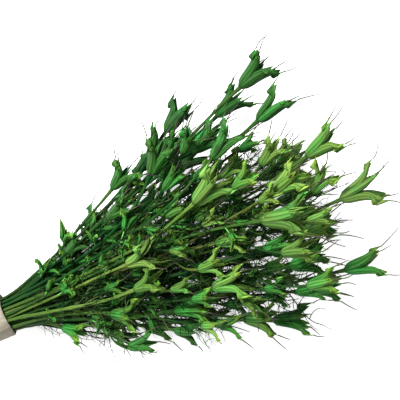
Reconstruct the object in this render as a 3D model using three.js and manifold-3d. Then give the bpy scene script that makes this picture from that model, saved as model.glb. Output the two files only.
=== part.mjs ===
// A tied bunch of dried nigella, lying on its side with its seed pods towards +X.
//
// Each cut stem runs through a paper sleeve, fans out past it, carries a few side
// branches, and every branch ends in a horned pod of three to five joined follicles.
// A stem grew as one piece with its branches and pods, so it is one solid: a spray.
// The sleeve and the twine wound round it hold the sprays together.
// Lengths are in millimetres and angles in degrees.

import * as THREE from 'three';
import { mergeVertices } from 'three/addons/utils/BufferGeometryUtils.js';
import Module from 'manifold-3d';

const wasm = await Module();
wasm.setup();

// The stems.
const SPRAY_COUNT = 64;
const STEM_RADIUS = 1.1;
const STEM_SIDES = 4;
const FREE_STEPS = 7;
const LEAVE_SHARE = 0.12;
const ARRIVE_SHARE = 0.36;
const BRANCH_RADIUS = 0.85;
const BRANCH_SIDES = 3;
const BRANCH_STEPS = 3;
const TAIL_SPREAD_Y = 1.3;
const TAIL_SPREAD_Z = 1.1;

// The sleeve and the twine, both round the X axis of the tie.
const TIE_RADIUS = 16.0;
const SLEEVE_LENGTH = 56;
const SLEEVE_BORE_RADIUS = 17.5;
const SLEEVE_WALL = 1.0;
const TIE_MOUTH = 2;
const TWINE_RADIUS = 1.0;
const TWINE_TURNS = 4;
const TWINE_POSITION = -30;
const KNOT_RADIUS = 2.6;
const SLEEVE_RADIUS = SLEEVE_BORE_RADIUS + SLEEVE_WALL;
const RING_GAP = 0.3;
const TIE_HEIGHT = SLEEVE_RADIUS + RING_GAP + 2 * TWINE_RADIUS;

// The fan of heads: sideways to both hands, and up from the surface.
const FAN_HALF_ANGLE = 27;
const LIFT_MIDDLE = 7.5;
const LIFT_HALF_ANGLE = 10;
const FAN_LOWEST = -34;
const FAN_HIGHEST = 26;
const LIFT_LIMIT = 21;
const REACH_SHORTEST = 96;
const OUTLINE = [
  { fan: -36, reach: 60 },
  { fan: -30, reach: 104 },
  { fan: -22, reach: 205 },
  { fan: -14, reach: 262 },
  { fan: 6, reach: 274 },
  { fan: 16, reach: 222 },
  { fan: 24, reach: 186 },
  { fan: 31, reach: 100 },
];

// A pod, from its base at 0 to its tips at its length.
const POD_LENGTH = 32;
const POD_BASE_RADIUS = 3.4;
const POD_WAIST_RADIUS = 5.8;
const POD_TIP_RADIUS = 11.5;
const POD_WAIST = 0.42;
const POD_SOCKET = 0.3;

// Rings of a pod's solid, as radius and share of its length. In the grooves between two
// follicles a ring is drawn in and lies at its own height.
const POD_PROFILE = [
  { radius: 0, height: -0.1, groove: 1, grooveHeight: -0.1 },
  { radius: POD_BASE_RADIUS, height: 0.06, groove: 0.85, grooveHeight: 0.06 },
  { radius: POD_WAIST_RADIUS, height: POD_WAIST, groove: 0.7, grooveHeight: POD_WAIST },
  { radius: POD_TIP_RADIUS, height: 1, groove: 0.42, grooveHeight: 0.72 },
  { radius: 0, height: 0.6, groove: 1, grooveHeight: 0.6 },
];

// Round-ended rods that together enclose a pod, as shares of its length and radii.
const POD_RODS = [
  { from: 0, to: 0.35, radius: 5.4 },
  { from: 0.35, to: 0.64, radius: 8.0 },
  { from: 0.76, to: 0.95, radius: 11.6 },
];

const CLEARANCE = 0.4;
const NEARLY_PARALLEL = 1e-9;
const STEM_TRIES = 120;
const BRANCH_TRIES = 140;
const BRANCH_ROUNDS = 5;

// The heads that show best: where each points, how far it reaches, and how its pod turns.
const LEADERS = [
  { fan: 21.5, lift: 9, reach: 284, turn: 0, size: 1.15 },
  { fan: 21, lift: 3, reach: 252, turn: 0, size: 1.05 },
  { fan: 15, lift: 12, reach: 278, turn: 5, size: 1.1 },
  { fan: 14.5, lift: 16, reach: 232, turn: 16, size: 1.05 },
  { fan: 26.5, lift: 5, reach: 212, turn: 6, size: 1.05 },
  { fan: 25, lift: 8, reach: 186, turn: 14, size: 1.0 },
  { fan: 19.5, lift: 11, reach: 218, turn: -8, size: 1.1 },
  { fan: 18, lift: 17, reach: 183, turn: 26, size: 1.0 },
  { fan: 10.5, lift: 17, reach: 200, turn: 14, size: 1.25 },
  { fan: 5.5, lift: 12, reach: 296, turn: 10, size: 1.1 },
  { fan: 2.5, lift: 14, reach: 258, turn: 12, size: 1.1 },
  { fan: -3, lift: 10, reach: 307, turn: 6, size: 1.2 },
  { fan: -14.5, lift: 7, reach: 296, turn: 8, size: 1.1 },
  { fan: -17.5, lift: 4, reach: 262, turn: 2, size: 1.0 },
  { fan: -12, lift: 11, reach: 252, turn: 4, size: 1.1 },
  { fan: -21.5, lift: 3, reach: 232, turn: 4, size: 1.05 },
  { fan: -22.5, lift: 8, reach: 206, turn: -6, size: 1.0 },
  { fan: -1.5, lift: 17, reach: 244, turn: -14, size: 1.3 },
  { fan: -14, lift: 14, reach: 186, turn: 10, size: 1.05 },
  { fan: -3.5, lift: 18, reach: 162, turn: 44, size: 1.1 },
  { fan: 1, lift: 19, reach: 124, turn: 0, size: 1.0 },
  { fan: -20, lift: 12, reach: 150, turn: 8, size: 1.0 },
  { fan: -10, lift: 18, reach: 122, turn: 12, size: 0.85 },
  { fan: 19, lift: 14, reach: 108, turn: 20, size: 0.95 },
  { fan: -4, lift: 21, reach: 88, turn: 24, size: 0.85 },
  { fan: 13, lift: 20, reach: 66, turn: 16, size: 0.85 },
  { fan: 25.5, lift: 6, reach: 112, turn: 2, size: 0.9 },
  { fan: -27, lift: 4, reach: 120, turn: -4, size: 0.9 },
  { fan: -29, lift: 8, reach: 84, turn: -4, size: 0.85 },
  { fan: 18, lift: 12, reach: 76, turn: 4, size: 0.85 },
  { fan: 15, lift: 15, reach: 44, turn: 2, size: 0.7 },
  { fan: -20, lift: 16, reach: 96, turn: -8, size: 0.9 },
  { fan: -28.5, lift: 10, reach: 96, turn: 6, size: 0.85 },
  { fan: -32, lift: 4, reach: 62, turn: 4, size: 0.8 },
  { fan: -31, lift: 12, reach: 50, turn: -6, size: 0.75 },
];

// What is left to chance, each as its lowest and highest value.
const FOLLICLES = [3, 6];
const SPIN = [0, 360];
const SWAY = [-3.5, 3.5];
const RISE = [-2, 2];
const TURN = [-9, 12];
const NOD = [-7, 10];
const POD_SIZE = [0.82, 1.08];
const TAIL = [112, 136];
const BRANCH_SHARE = [0.2, 0.9];
const BRANCH_FORWARD = [22, 66];
const BRANCH_ASIDE = [10, 30];
const BRANCH_LEAN = [-0.2, 1.1];
const BRANCH_POD_SIZE = [0.56, 0.95];

// How a side branch bends: how far its handles go forward and aside.
const BRANCH_LEAVE_FORWARD = 0.3;
const BRANCH_LEAVE_ASIDE = 0.45;
const BRANCH_ARRIVE = 0.35;

// Facets of the round solids, and the distance at which corners are welded.
const SLEEVE_SEGMENTS = 32;
const TWINE_SEGMENTS = 24;
const KNOT_SEGMENTS = 10;
const KNOT_RINGS = 6;
const WELD_DISTANCE = 1e-4;

const degrees = THREE.MathUtils.degToRad;
const GOLDEN_ANGLE = Math.PI * (3 - Math.sqrt(5));

// A repeatable sequence of numbers, each between a lowest and a highest value.
const RANDOM_MODULUS = 2147483647;
const RANDOM_FACTOR = 16807;
let randomState = 1812;
function random([low, high]) {
  randomState = (randomState * RANDOM_FACTOR) % RANDOM_MODULUS;
  return low + (high - low) * (randomState / RANDOM_MODULUS);
}

// The unit vector that points fan degrees to the side and lift degrees up from +X.
function heading(fan, lift) {
  const level = Math.cos(degrees(lift));
  return new THREE.Vector3(
    level * Math.cos(degrees(fan)),
    level * Math.sin(degrees(fan)),
    Math.sin(degrees(lift)),
  );
}

// Where stem number index passes the tie: even spacing on a spiral.
function tieSlot(index) {
  const radius = TIE_RADIUS * Math.sqrt((index + 0.5) / SPRAY_COUNT);
  const angle = index * GOLDEN_ANGLE;
  return { y: radius * Math.cos(angle), z: radius * Math.sin(angle), taken: false };
}

// Stems on one side of the tie lean to that side.
function slotFan(slot) {
  return FAN_HALF_ANGLE * slot.y / TIE_RADIUS;
}

function slotLift(slot) {
  return LIFT_MIDDLE + LIFT_HALF_ANGLE * slot.z / TIE_RADIUS;
}

// The free slot whose lean is nearest to a leader's.
function nearestSlot(slots, leader) {
  let best = null;
  let bestMiss = Infinity;
  for (const slot of slots) {
    const miss = Math.abs(slotFan(slot) - leader.fan) / FAN_HALF_ANGLE
      + Math.abs(slotLift(slot) - leader.lift) / LIFT_HALF_ANGLE;
    if (!slot.taken && miss < bestMiss) {
      best = slot;
      bestMiss = miss;
    }
  }
  return best;
}

// How far the heads reach on a given side: the outer ones stop short.
function longestReach(fan) {
  let index = 0;
  while (index < OUTLINE.length - 2 && fan >= OUTLINE[index + 1].fan) index += 1;
  const from = OUTLINE[index];
  const to = OUTLINE[index + 1];
  const share = (fan - from.fan) / (to.fan - from.fan);
  return Math.max(REACH_SHORTEST, from.reach + (to.reach - from.reach) * share);
}

function bezier(p0, p1, p2, p3, t) {
  const u = 1 - t;
  return new THREE.Vector3()
    .addScaledVector(p0, u * u * u)
    .addScaledVector(p1, 3 * u * u * t)
    .addScaledVector(p2, 3 * u * t * t)
    .addScaledVector(p3, t * t * t);
}

// A pod standing on base and pointing along axis, as its own record of sizes.
function makePod(base, axis, size) {
  return { base, axis, size, follicles: Math.floor(random(FOLLICLES)), spin: random(SPIN) };
}

function podPoint(pod, share) {
  return pod.base.clone().addScaledVector(pod.axis, share * POD_LENGTH * pod.size);
}

// Round-ended rods that stand for a path or a pod when its clearance is measured.
function pathRods(points, radius) {
  const rods = [];
  for (let i = 1; i < points.length; i += 1) {
    rods.push({ start: points[i - 1], end: points[i], radius });
  }
  return rods;
}

function podRods(pod) {
  return POD_RODS.map((rod) => ({
    start: podPoint(pod, rod.from),
    end: podPoint(pod, rod.to),
    radius: rod.radius * pod.size,
  }));
}

// The free space between two rods.
function rodGap(a, b) {
  const alongA = a.end.clone().sub(a.start);
  const alongB = b.end.clone().sub(b.start);
  const between = a.start.clone().sub(b.start);
  const aa = alongA.dot(alongA);
  const bb = alongB.dot(alongB);
  const ab = alongA.dot(alongB);
  const fromA = alongA.dot(between);
  const fromB = alongB.dot(between);
  const clamp = (value) => Math.min(1, Math.max(0, value));
  const spread = aa * bb - ab * ab;
  let s = spread > NEARLY_PARALLEL ? clamp((ab * fromB - fromA * bb) / spread) : 0;
  const t = clamp((ab * s + fromB) / bb);
  s = clamp((ab * t - fromA) / aa);
  const gap = between.addScaledVector(alongA, s).addScaledVector(alongB, -t).length();
  return gap - a.radius - b.radius;
}

function isClear(rods, others) {
  return rods.every((rod) => others.every((other) => rodGap(rod, other) >= CLEARANCE));
}

// A stem's line: straight through the sleeve, then over to its head.
function stemPoints(slot, tail, head, axis, reach) {
  const tie = new THREE.Vector3(TIE_MOUTH, slot.y, TIE_HEIGHT + slot.z);
  const sleeveEnd = tie.clone().setX(-SLEEVE_LENGTH - TIE_MOUTH);
  const cut = new THREE.Vector3(
    -tail, slot.y * TAIL_SPREAD_Y, TIE_HEIGHT + slot.z * TAIL_SPREAD_Z,
  );
  const leave = tie.clone().add(new THREE.Vector3(LEAVE_SHARE * reach, 0, 0));
  const arrive = head.clone().addScaledVector(axis, -ARRIVE_SHARE * reach);
  const points = [cut, sleeveEnd];
  for (let i = 0; i <= FREE_STEPS; i += 1) {
    points.push(bezier(tie, leave, arrive, head, i / FREE_STEPS));
  }
  return points;
}

// A head no lower than lets its pod lie on the surface.
function restOnSurface(base, axis, size) {
  const tipHeight = base.z + axis.z * POD_LENGTH * size;
  const level = Math.sqrt(1 - axis.z * axis.z);
  const lowest = Math.min(
    tipHeight - POD_TIP_RADIUS * size * level,
    base.z - POD_BASE_RADIUS * size * level,
  );
  return base.clone().setZ(base.z - Math.min(0, lowest));
}

function growStem(slot, aim) {
  const axis = heading(aim.fan + aim.turn, aim.lift + aim.nod);
  const tie = new THREE.Vector3(0, slot.y, TIE_HEIGHT + slot.z);
  const outward = heading(aim.fan, aim.lift);
  const head = restOnSurface(
    outward.multiplyScalar(aim.reach).add(new THREE.Vector3(0, 0, tie.z)), axis, aim.size,
  );
  const points = stemPoints(slot, aim.tail, head, axis, aim.reach);
  const pod = makePod(head, axis, aim.size);
  return { points, pods: [pod], branches: [] };
}

function drawAim(slot, leader, attempt) {
  const looseness = leader ? attempt / STEM_TRIES : 1;
  const fan = leader ? leader.fan : slotFan(slot);
  const lift = leader ? leader.lift : slotLift(slot);
  const sway = looseness * random(SWAY);
  const rise = looseness * random(RISE);
  const share = random([0, 1]);
  const farthest = longestReach(fan + sway);
  return {
    fan: fan + sway,
    lift: lift + rise,
    reach: leader ? leader.reach : REACH_SHORTEST + (farthest - REACH_SHORTEST) * share,
    turn: leader ? leader.turn : random(TURN),
    nod: random(NOD),
    size: leader ? leader.size : random(POD_SIZE),
    tail: random(TAIL),
  };
}

// Grows a stem and its end pod where they clear every stem before them.
function placeStem(slot, leader, sprays) {
  const others = sprays.flatMap((spray) => spray.rods);
  for (let attempt = 0; attempt < STEM_TRIES; attempt += 1) {
    const spray = growStem(slot, drawAim(slot, leader, attempt));
    const rods = [...pathRods(spray.points, STEM_RADIUS), ...podRods(spray.pods[0])];
    if (isClear(rods.slice(2), others)) {
      spray.rods = rods;
      slot.taken = true;
      return spray;
    }
  }
  return null;
}

// Two unit vectors square to along, the first of them level.
function across(along) {
  const side = new THREE.Vector3(0, 0, 1).cross(along).normalize();
  return [side, along.clone().cross(side)];
}

// A side branch: it leaves the stem at a node, bends out and then runs along with it.
function growBranch(spray) {
  const place = 2 + FREE_STEPS * random(BRANCH_SHARE);
  const index = Math.floor(place);
  const from = spray.points[index];
  const to = spray.points[index + 1];
  const node = from.clone().lerp(to, place - index);
  const along = to.clone().sub(from).normalize();
  const [side, up] = across(along);
  const around = degrees(random(SPIN));
  const out = side.multiplyScalar(Math.cos(around)).addScaledVector(up, Math.sin(around));
  const forward = random(BRANCH_FORWARD);
  const aside = random(BRANCH_ASIDE);
  const end = node.clone().addScaledVector(along, forward).addScaledVector(out, aside);
  const leave = node.clone()
    .addScaledVector(along, BRANCH_LEAVE_FORWARD * forward)
    .addScaledVector(out, BRANCH_LEAVE_ASIDE * aside);
  const axis = along.clone()
    .multiplyScalar(forward)
    .addScaledVector(out, random(BRANCH_LEAN) * aside)
    .normalize();
  const arrive = end.clone().addScaledVector(axis, -BRANCH_ARRIVE * forward);
  const points = [];
  for (let i = 0; i <= BRANCH_STEPS; i += 1) {
    points.push(bezier(node, leave, arrive, end, i / BRANCH_STEPS));
  }
  return { points, pod: makePod(end, axis, random(BRANCH_POD_SIZE)) };
}

function isInsideFan(pod) {
  const tip = podPoint(pod, 1);
  const fan = THREE.MathUtils.radToDeg(Math.atan2(tip.y, tip.x));
  const distance = Math.hypot(tip.x, tip.y);
  const lift = THREE.MathUtils.radToDeg(Math.atan2(tip.z - TIE_HEIGHT, distance));
  const level = Math.sqrt(1 - pod.axis.z * pod.axis.z);
  const aboveSurface = tip.z >= POD_TIP_RADIUS * pod.size * level
    && pod.base.z >= POD_BASE_RADIUS * pod.size;
  return aboveSurface && fan > FAN_LOWEST && fan < FAN_HIGHEST && lift < LIFT_LIMIT
    && distance < longestReach(fan) + POD_LENGTH;
}

// Adds one side branch to a spray if one of the tries finds room.
function addBranch(spray, sprays) {
  const others = sprays.flatMap((other) => (other === spray ? other.podRods : other.rods));
  for (let attempt = 0; attempt < BRANCH_TRIES; attempt += 1) {
    const branch = growBranch(spray);
    const rods = [...pathRods(branch.points, BRANCH_RADIUS), ...podRods(branch.pod)];
    if (isInsideFan(branch.pod) && isClear(rods, others)) {
      spray.branches.push(branch.points);
      spray.pods.push(branch.pod);
      spray.rods.push(...rods);
      spray.podRods.push(...rods.slice(BRANCH_STEPS));
      return;
    }
  }
}

// Places the leaders, fills the other slots, and then hands out side branches.
function layOutBunch() {
  const slots = [];
  for (let i = 0; i < SPRAY_COUNT; i += 1) {
    slots.push(tieSlot(i));
  }
  const sprays = [];
  for (const leader of LEADERS) {
    const spray = placeStem(nearestSlot(slots, leader), leader, sprays);
    if (spray) sprays.push(spray);
  }
  for (const slot of slots.filter((each) => !each.taken)) {
    const spray = placeStem(slot, null, sprays);
    if (spray) sprays.push(spray);
  }
  for (const spray of sprays) {
    spray.podRods = podRods(spray.pods[0]);
  }
  for (let round = 0; round < BRANCH_ROUNDS; round += 1) {
    for (const spray of sprays) {
      addBranch(spray, sprays);
    }
  }
  return sprays;
}

// Solids.

function toSolid(geometry) {
  const bare = geometry.clone();
  bare.deleteAttribute('normal');
  bare.deleteAttribute('uv');
  const merged = mergeVertices(bare, WELD_DISTANCE);
  return new wasm.Manifold(new wasm.Mesh({
    numProp: 3,
    vertProperties: new Float32Array(merged.attributes.position.array),
    triVerts: new Uint32Array(merged.index.array),
  }));
}

function toGeometry(solid) {
  const mesh = solid.getMesh();
  const geometry = new THREE.BufferGeometry();
  geometry.setAttribute('position', new THREE.BufferAttribute(mesh.vertProperties, 3));
  geometry.setIndex(new THREE.BufferAttribute(mesh.triVerts, 1));
  geometry.computeVertexNormals();
  return geometry;
}

// A path with one ring of a tube on each of its points.
class PointPath extends THREE.Curve {
  constructor(points) {
    super();
    this.points = points;
  }

  getPoint(t) {
    const place = t * (this.points.length - 1);
    const index = Math.min(Math.floor(place), this.points.length - 2);
    return this.points[index].clone().lerp(this.points[index + 1], place - index);
  }

  getUtoTmapping(u) {
    return u;
  }
}

function tube(points, radius, sides) {
  const section = new THREE.Shape();
  for (let i = 0; i < sides; i += 1) {
    const angle = 2 * Math.PI * i / sides;
    const x = radius * Math.cos(angle);
    const y = radius * Math.sin(angle);
    if (i === 0) section.moveTo(x, y);
    else section.lineTo(x, y);
  }
  section.closePath();
  return new THREE.ExtrudeGeometry(section, {
    steps: points.length - 1,
    bevelEnabled: false,
    extrudePath: new PointPath(points),
  });
}

// A pod's solid: a funnel whose wall is drawn in between the follicles.
function podGeometry(pod) {
  const length = POD_LENGTH * pod.size;
  const outline = POD_PROFILE.map((ring) => (
    new THREE.Vector2(ring.radius * pod.size, ring.height * length)
  ));
  const columns = 2 * pod.follicles;
  const geometry = new THREE.LatheGeometry(outline, columns);
  const position = geometry.attributes.position;
  for (let column = 1; column < columns; column += 2) {
    POD_PROFILE.forEach((ring, row) => {
      const vertex = column * POD_PROFILE.length + row;
      position.setX(vertex, position.getX(vertex) * ring.groove);
      position.setZ(vertex, position.getZ(vertex) * ring.groove);
      position.setY(vertex, ring.grooveHeight * length);
    });
  }
  geometry.rotateY(degrees(pod.spin));
  const upright = new THREE.Vector3(0, 1, 0);
  geometry.applyQuaternion(new THREE.Quaternion().setFromUnitVectors(upright, pod.axis));
  geometry.translate(pod.base.x, pod.base.y, pod.base.z);
  return geometry;
}

function spraySolid(spray) {
  const stemEnd = podPoint(spray.pods[0], POD_SOCKET);
  const pieces = [toSolid(tube([...spray.points, stemEnd], STEM_RADIUS, STEM_SIDES))];
  spray.branches.forEach((points, i) => {
    const branchEnd = podPoint(spray.pods[i + 1], POD_SOCKET);
    pieces.push(toSolid(tube([...points, branchEnd], BRANCH_RADIUS, BRANCH_SIDES)));
  });
  for (const pod of spray.pods) {
    pieces.push(toSolid(podGeometry(pod)));
  }
  return pieces.reduce((whole, piece) => whole.add(piece));
}

// A ring round the tie's axis from a closed outline of (radius, x) points.
function ringGeometry(outline, segments) {
  const closed = [...outline, outline[0]].map(([radius, x]) => new THREE.Vector2(radius, x));
  const geometry = new THREE.LatheGeometry(closed, segments);
  geometry.rotateZ(-Math.PI / 2);
  geometry.translate(0, 0, TIE_HEIGHT);
  return geometry;
}

function sleeveGeometry() {
  const outline = [
    [SLEEVE_BORE_RADIUS, -SLEEVE_LENGTH],
    [SLEEVE_RADIUS, -SLEEVE_LENGTH],
    [SLEEVE_RADIUS, 0],
    [SLEEVE_BORE_RADIUS, 0],
  ];
  return ringGeometry(outline, SLEEVE_SEGMENTS);
}

// The wound twine as one ring with a round back for each turn, and its knot on top.
function twineSolid() {
  const inner = SLEEVE_RADIUS + RING_GAP;
  const width = 2 * TWINE_RADIUS * TWINE_TURNS;
  const start = TWINE_POSITION - width / 2;
  const notch = inner + TWINE_RADIUS;
  const outline = [[inner, start]];
  for (let turn = 0; turn < TWINE_TURNS; turn += 1) {
    const left = start + 2 * TWINE_RADIUS * turn;
    outline.push([notch, left]);
    outline.push([inner + 2 * TWINE_RADIUS, left + TWINE_RADIUS]);
  }
  outline.push([notch, start + width]);
  outline.push([inner, start + width]);
  const knot = new THREE.SphereGeometry(KNOT_RADIUS, KNOT_SEGMENTS, KNOT_RINGS);
  knot.translate(TWINE_POSITION, 0, TIE_HEIGHT + inner + KNOT_RADIUS + RING_GAP);
  return toSolid(ringGeometry(outline, TWINE_SEGMENTS)).add(toSolid(knot));
}

function named(name, geometry, color, roughness) {
  const mesh = new THREE.Mesh(
    geometry, new THREE.MeshStandardMaterial({ color, roughness, metalness: 0 }),
  );
  mesh.name = name;
  return mesh;
}

const bunch = new THREE.Group();
const sprays = layOutBunch();
sprays.forEach((spray, i) => {
  const name = `spray_${String(i + 1).padStart(2, '0')}`;
  bunch.add(named(name, toGeometry(spraySolid(spray)), 0x3f8a3c, 0.7));
});
bunch.add(named('sleeve', sleeveGeometry(), 0xa89a80, 0.9));
bunch.add(named('twine', toGeometry(twineSolid()), 0x9c8458, 0.9));

// The origin is the middle of the footprint, on the surface that the bunch lies on.
bunch.updateMatrixWorld(true);
const box = new THREE.Box3().setFromObject(bunch, true);
const middle = box.getCenter(new THREE.Vector3());
bunch.position.set(-middle.x, -middle.y, -box.min.z);

export default bunch;
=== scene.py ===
# %% [markdown]
# # A tied bunch of dried nigella seed pods
#
# Nigella is a garden flower. When the petals have dropped, it leaves a seed pod: three
# to five narrow boat-shaped follicles, joined in their lower half, open at the tips, and
# each ending in a long thin beak. Here well over a hundred such pods, dyed green and
# dried, sit on fifty-five stems that a paper sleeve and some turns of twine hold together.
#
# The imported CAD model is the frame. It says where every stem and pod is, and this
# script puts a detailed spray, sleeve and twine in the place of each plain solid.

import math

import bpy
import numpy as np
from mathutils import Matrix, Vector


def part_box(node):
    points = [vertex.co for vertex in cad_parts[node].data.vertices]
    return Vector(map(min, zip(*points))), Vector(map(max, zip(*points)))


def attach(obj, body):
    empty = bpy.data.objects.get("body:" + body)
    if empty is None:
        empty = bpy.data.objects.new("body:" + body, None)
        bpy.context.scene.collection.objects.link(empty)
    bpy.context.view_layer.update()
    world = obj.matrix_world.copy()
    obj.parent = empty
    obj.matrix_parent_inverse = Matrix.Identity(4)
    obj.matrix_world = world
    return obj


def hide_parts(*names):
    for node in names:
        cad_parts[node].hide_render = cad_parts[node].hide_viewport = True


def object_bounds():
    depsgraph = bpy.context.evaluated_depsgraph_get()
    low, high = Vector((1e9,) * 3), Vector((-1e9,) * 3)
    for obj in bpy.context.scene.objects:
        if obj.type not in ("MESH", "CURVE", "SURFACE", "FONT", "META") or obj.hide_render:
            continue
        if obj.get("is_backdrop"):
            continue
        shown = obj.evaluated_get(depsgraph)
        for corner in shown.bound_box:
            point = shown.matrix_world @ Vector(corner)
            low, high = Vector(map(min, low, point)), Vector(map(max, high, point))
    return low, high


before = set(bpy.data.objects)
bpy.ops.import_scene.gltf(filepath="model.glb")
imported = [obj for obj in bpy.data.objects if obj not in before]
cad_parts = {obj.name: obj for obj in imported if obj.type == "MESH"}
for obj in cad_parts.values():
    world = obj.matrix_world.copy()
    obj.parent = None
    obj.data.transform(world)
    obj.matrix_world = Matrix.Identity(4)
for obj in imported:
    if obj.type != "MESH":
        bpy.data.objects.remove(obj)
cad_low, cad_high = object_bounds()
sleeve_low, sleeve_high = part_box("sleeve")
sleeve_middle = (sleeve_low + sleeve_high) / 2
scene = bpy.context.scene
MM = 0.001
print("nodes:", len(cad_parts), "box:", [round(x, 4) for x in (*cad_low, *cad_high)])

# %% [markdown]
# ## The camera and the light
#
# The bunch lies on a pale table and is seen from straight above, turned so that the
# heads point up to the right. A long lens keeps near and far pods nearly the same size.
# The camera could be a child of an empty that turns it, but a location and three angles
# say the same thing in two lines. Its place is told from the sleeve's mouth.

# %% Camera
VIEW_AHEAD = 0.1939
VIEW_ASIDE = 0.0283
VIEW_HEIGHT = 0.055
VIEW_WIDTH = 0.34
VIEW_ROLL = -22.5
LENS = 110
SENSOR = 36


def put(name, data):
    """A new object in the scene."""
    made = bpy.data.objects.new(name, data)
    scene.collection.objects.link(made)
    return made


camera_data = bpy.data.cameras.new("camera")
camera_data.lens = LENS
camera_data.sensor_width = SENSOR
camera_height = VIEW_HEIGHT + VIEW_WIDTH * LENS / SENSOR
camera = put("camera", camera_data)
camera.location = (sleeve_high.x + VIEW_AHEAD, sleeve_middle.y + VIEW_ASIDE, camera_height)
camera.rotation_euler = (0, 0, math.radians(VIEW_ROLL))
scene.camera = camera
print("camera", round(camera_height, 3), "m above the table")

# %% [markdown]
# Dried flowers are shown off best in a bright white tent. A white world stands for it,
# and one lamp a little to the side makes the ribs and hollows show. A weak second lamp
# opens the shadows. Three or four large lamps could stand for the tent, but a world has
# no edges that would show in the waxy skin. The Standard view transform keeps the green
# as strong as the dye is.

# %% Light
TENT_STRENGTH = 0.45
scene.view_settings.view_transform = "Standard"
world = bpy.data.worlds.new("studio")
world.use_nodes = True
world.node_tree.nodes["Background"].inputs["Color"].default_value = (1, 1, 1, 1)
world.node_tree.nodes["Background"].inputs["Strength"].default_value = TENT_STRENGTH
scene.world = world


def soft_lamp(name, place, size, watts):
    """A square lamp that points at the middle of the bunch."""
    data = bpy.data.lights.new(name, "AREA")
    data.size = size
    data.energy = watts
    lamp = put(name, data)
    lamp.location = place
    aim = lamp.location - cad_low.lerp(cad_high, 0.5)
    lamp.rotation_euler = aim.to_track_quat("Z", "Y").to_euler()


soft_lamp("key_lamp", (-0.3, 0.7, 1.1), 0.35, 35.5)
soft_lamp("fill_lamp", (0.7, -0.5, 1.2), 1.0, 2)

# %% [markdown]
# ## Node graphs as expressions
#
# Materials and Geometry Nodes are both graphs. Clicking them together is quick for one,
# but a script reads better when a sum looks like a sum. A `Wire` stands for one output
# of a node, and adding or multiplying wires adds the Math node.


# %% Wires
class Wire:
    """One output of a node in a graph."""

    def __init__(self, tree, socket):
        self.tree = tree
        self.socket = socket

    def out(self, name):
        """Another output of the same node."""
        return Wire(self.tree, self.socket.node.outputs[name])

    def math(self, operation, first, second):
        return node(self.tree, "ShaderNodeMath", {"operation": operation}, {0: first, 1: second})

    def __add__(self, other):
        return self.math("ADD", self, other)

    def __radd__(self, other):
        return self.math("ADD", other, self)

    def __sub__(self, other):
        return self.math("SUBTRACT", self, other)

    def __rsub__(self, other):
        return self.math("SUBTRACT", other, self)

    def __mul__(self, other):
        return self.math("MULTIPLY", self, other)

    def __rmul__(self, other):
        return self.math("MULTIPLY", other, self)

    def __truediv__(self, other):
        return self.math("DIVIDE", self, other)


print("a wire can be added, subtracted, multiplied and divided")

# %% [markdown]
# Every other node comes from one function: its type, its settings, and what goes into its
# sockets. Settings come first, because some of them change which sockets there are.


# %% Nodes
def node(tree, kind, settings=None, values=None):
    """Adds a node and returns its first output. Settings are made before sockets are filled."""
    made = tree.nodes.new(kind)
    for name, value in (settings or {}).items():
        if name == "stops":
            set_stops(made.color_ramp, value)
        else:
            setattr(made, name, value)
    for name, value in (values or {}).items():
        if isinstance(value, Wire):
            tree.links.new(value.socket, made.inputs[name])
        else:
            made.inputs[name].default_value = value
    return Wire(tree, made.outputs[0]) if len(made.outputs) else made


def set_stops(ramp, stops):
    """Gives a colour ramp its stops, each a position and a colour."""
    while len(ramp.elements) < len(stops):
        ramp.elements.new(0.5)
    for element, (position, value) in zip(ramp.elements, stops):
        element.position = position
        element.color = value


print("graph helpers ready")

# %% [markdown]
# ## Where every stem and pod is
#
# The CAD solids are plain, but they grew by rule: a seeded dice, a list of leading
# heads, and a test that keeps each new stem clear of the ones before. The frame holds
# only the finished solids, so the same rules run again here, and give the same paths.
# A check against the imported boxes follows. Lengths are in millimetres, with the mouth
# of the tie at x = 0 and the heads towards +x; angles are in degrees. The outline lists
# how far the bunch reaches in each direction of its fan.

# %% Sizes of the bunch
SPRAY_COUNT = 64
STEM_RADIUS = 1.1
FREE_STEPS = 7
LEAVE_SHARE = 0.12
ARRIVE_SHARE = 0.36
BRANCH_RADIUS = 0.85
BRANCH_STEPS = 3
TAIL_SPREAD_Y = 1.3
TAIL_SPREAD_Z = 1.1
TIE_RADIUS = 16.0
TIE_MOUTH = 2
TIE_HEIGHT = 20.8
SLEEVE_LENGTH = 56
FAN_HALF_ANGLE = 27
LIFT_MIDDLE = 7.5
LIFT_HALF_ANGLE = 10
FAN_LOWEST = -34
FAN_HIGHEST = 26
LIFT_LIMIT = 21
REACH_SHORTEST = 96
OUTLINE = [
    (-36, 60),
    (-30, 104),
    (-22, 205),
    (-14, 262),
    (6, 274),
    (16, 222),
    (24, 186),
    (31, 100),
]
POD_LENGTH = 32
POD_BASE_RADIUS = 3.4
POD_TIP_RADIUS = 11.5
POD_RODS = [(0, 0.35, 5.4), (0.35, 0.64, 8.0), (0.76, 0.95, 11.6)]
CLEARANCE = 0.4
NEARLY_PARALLEL = 1e-9
STEM_TRIES = 120
BRANCH_TRIES = 140
BRANCH_ROUNDS = 5
GOLDEN_ANGLE = math.pi * (3 - math.sqrt(5))
print("a full pod is", POD_LENGTH, "mm long, the tie", 2 * TIE_RADIUS, "mm thick")
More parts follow.
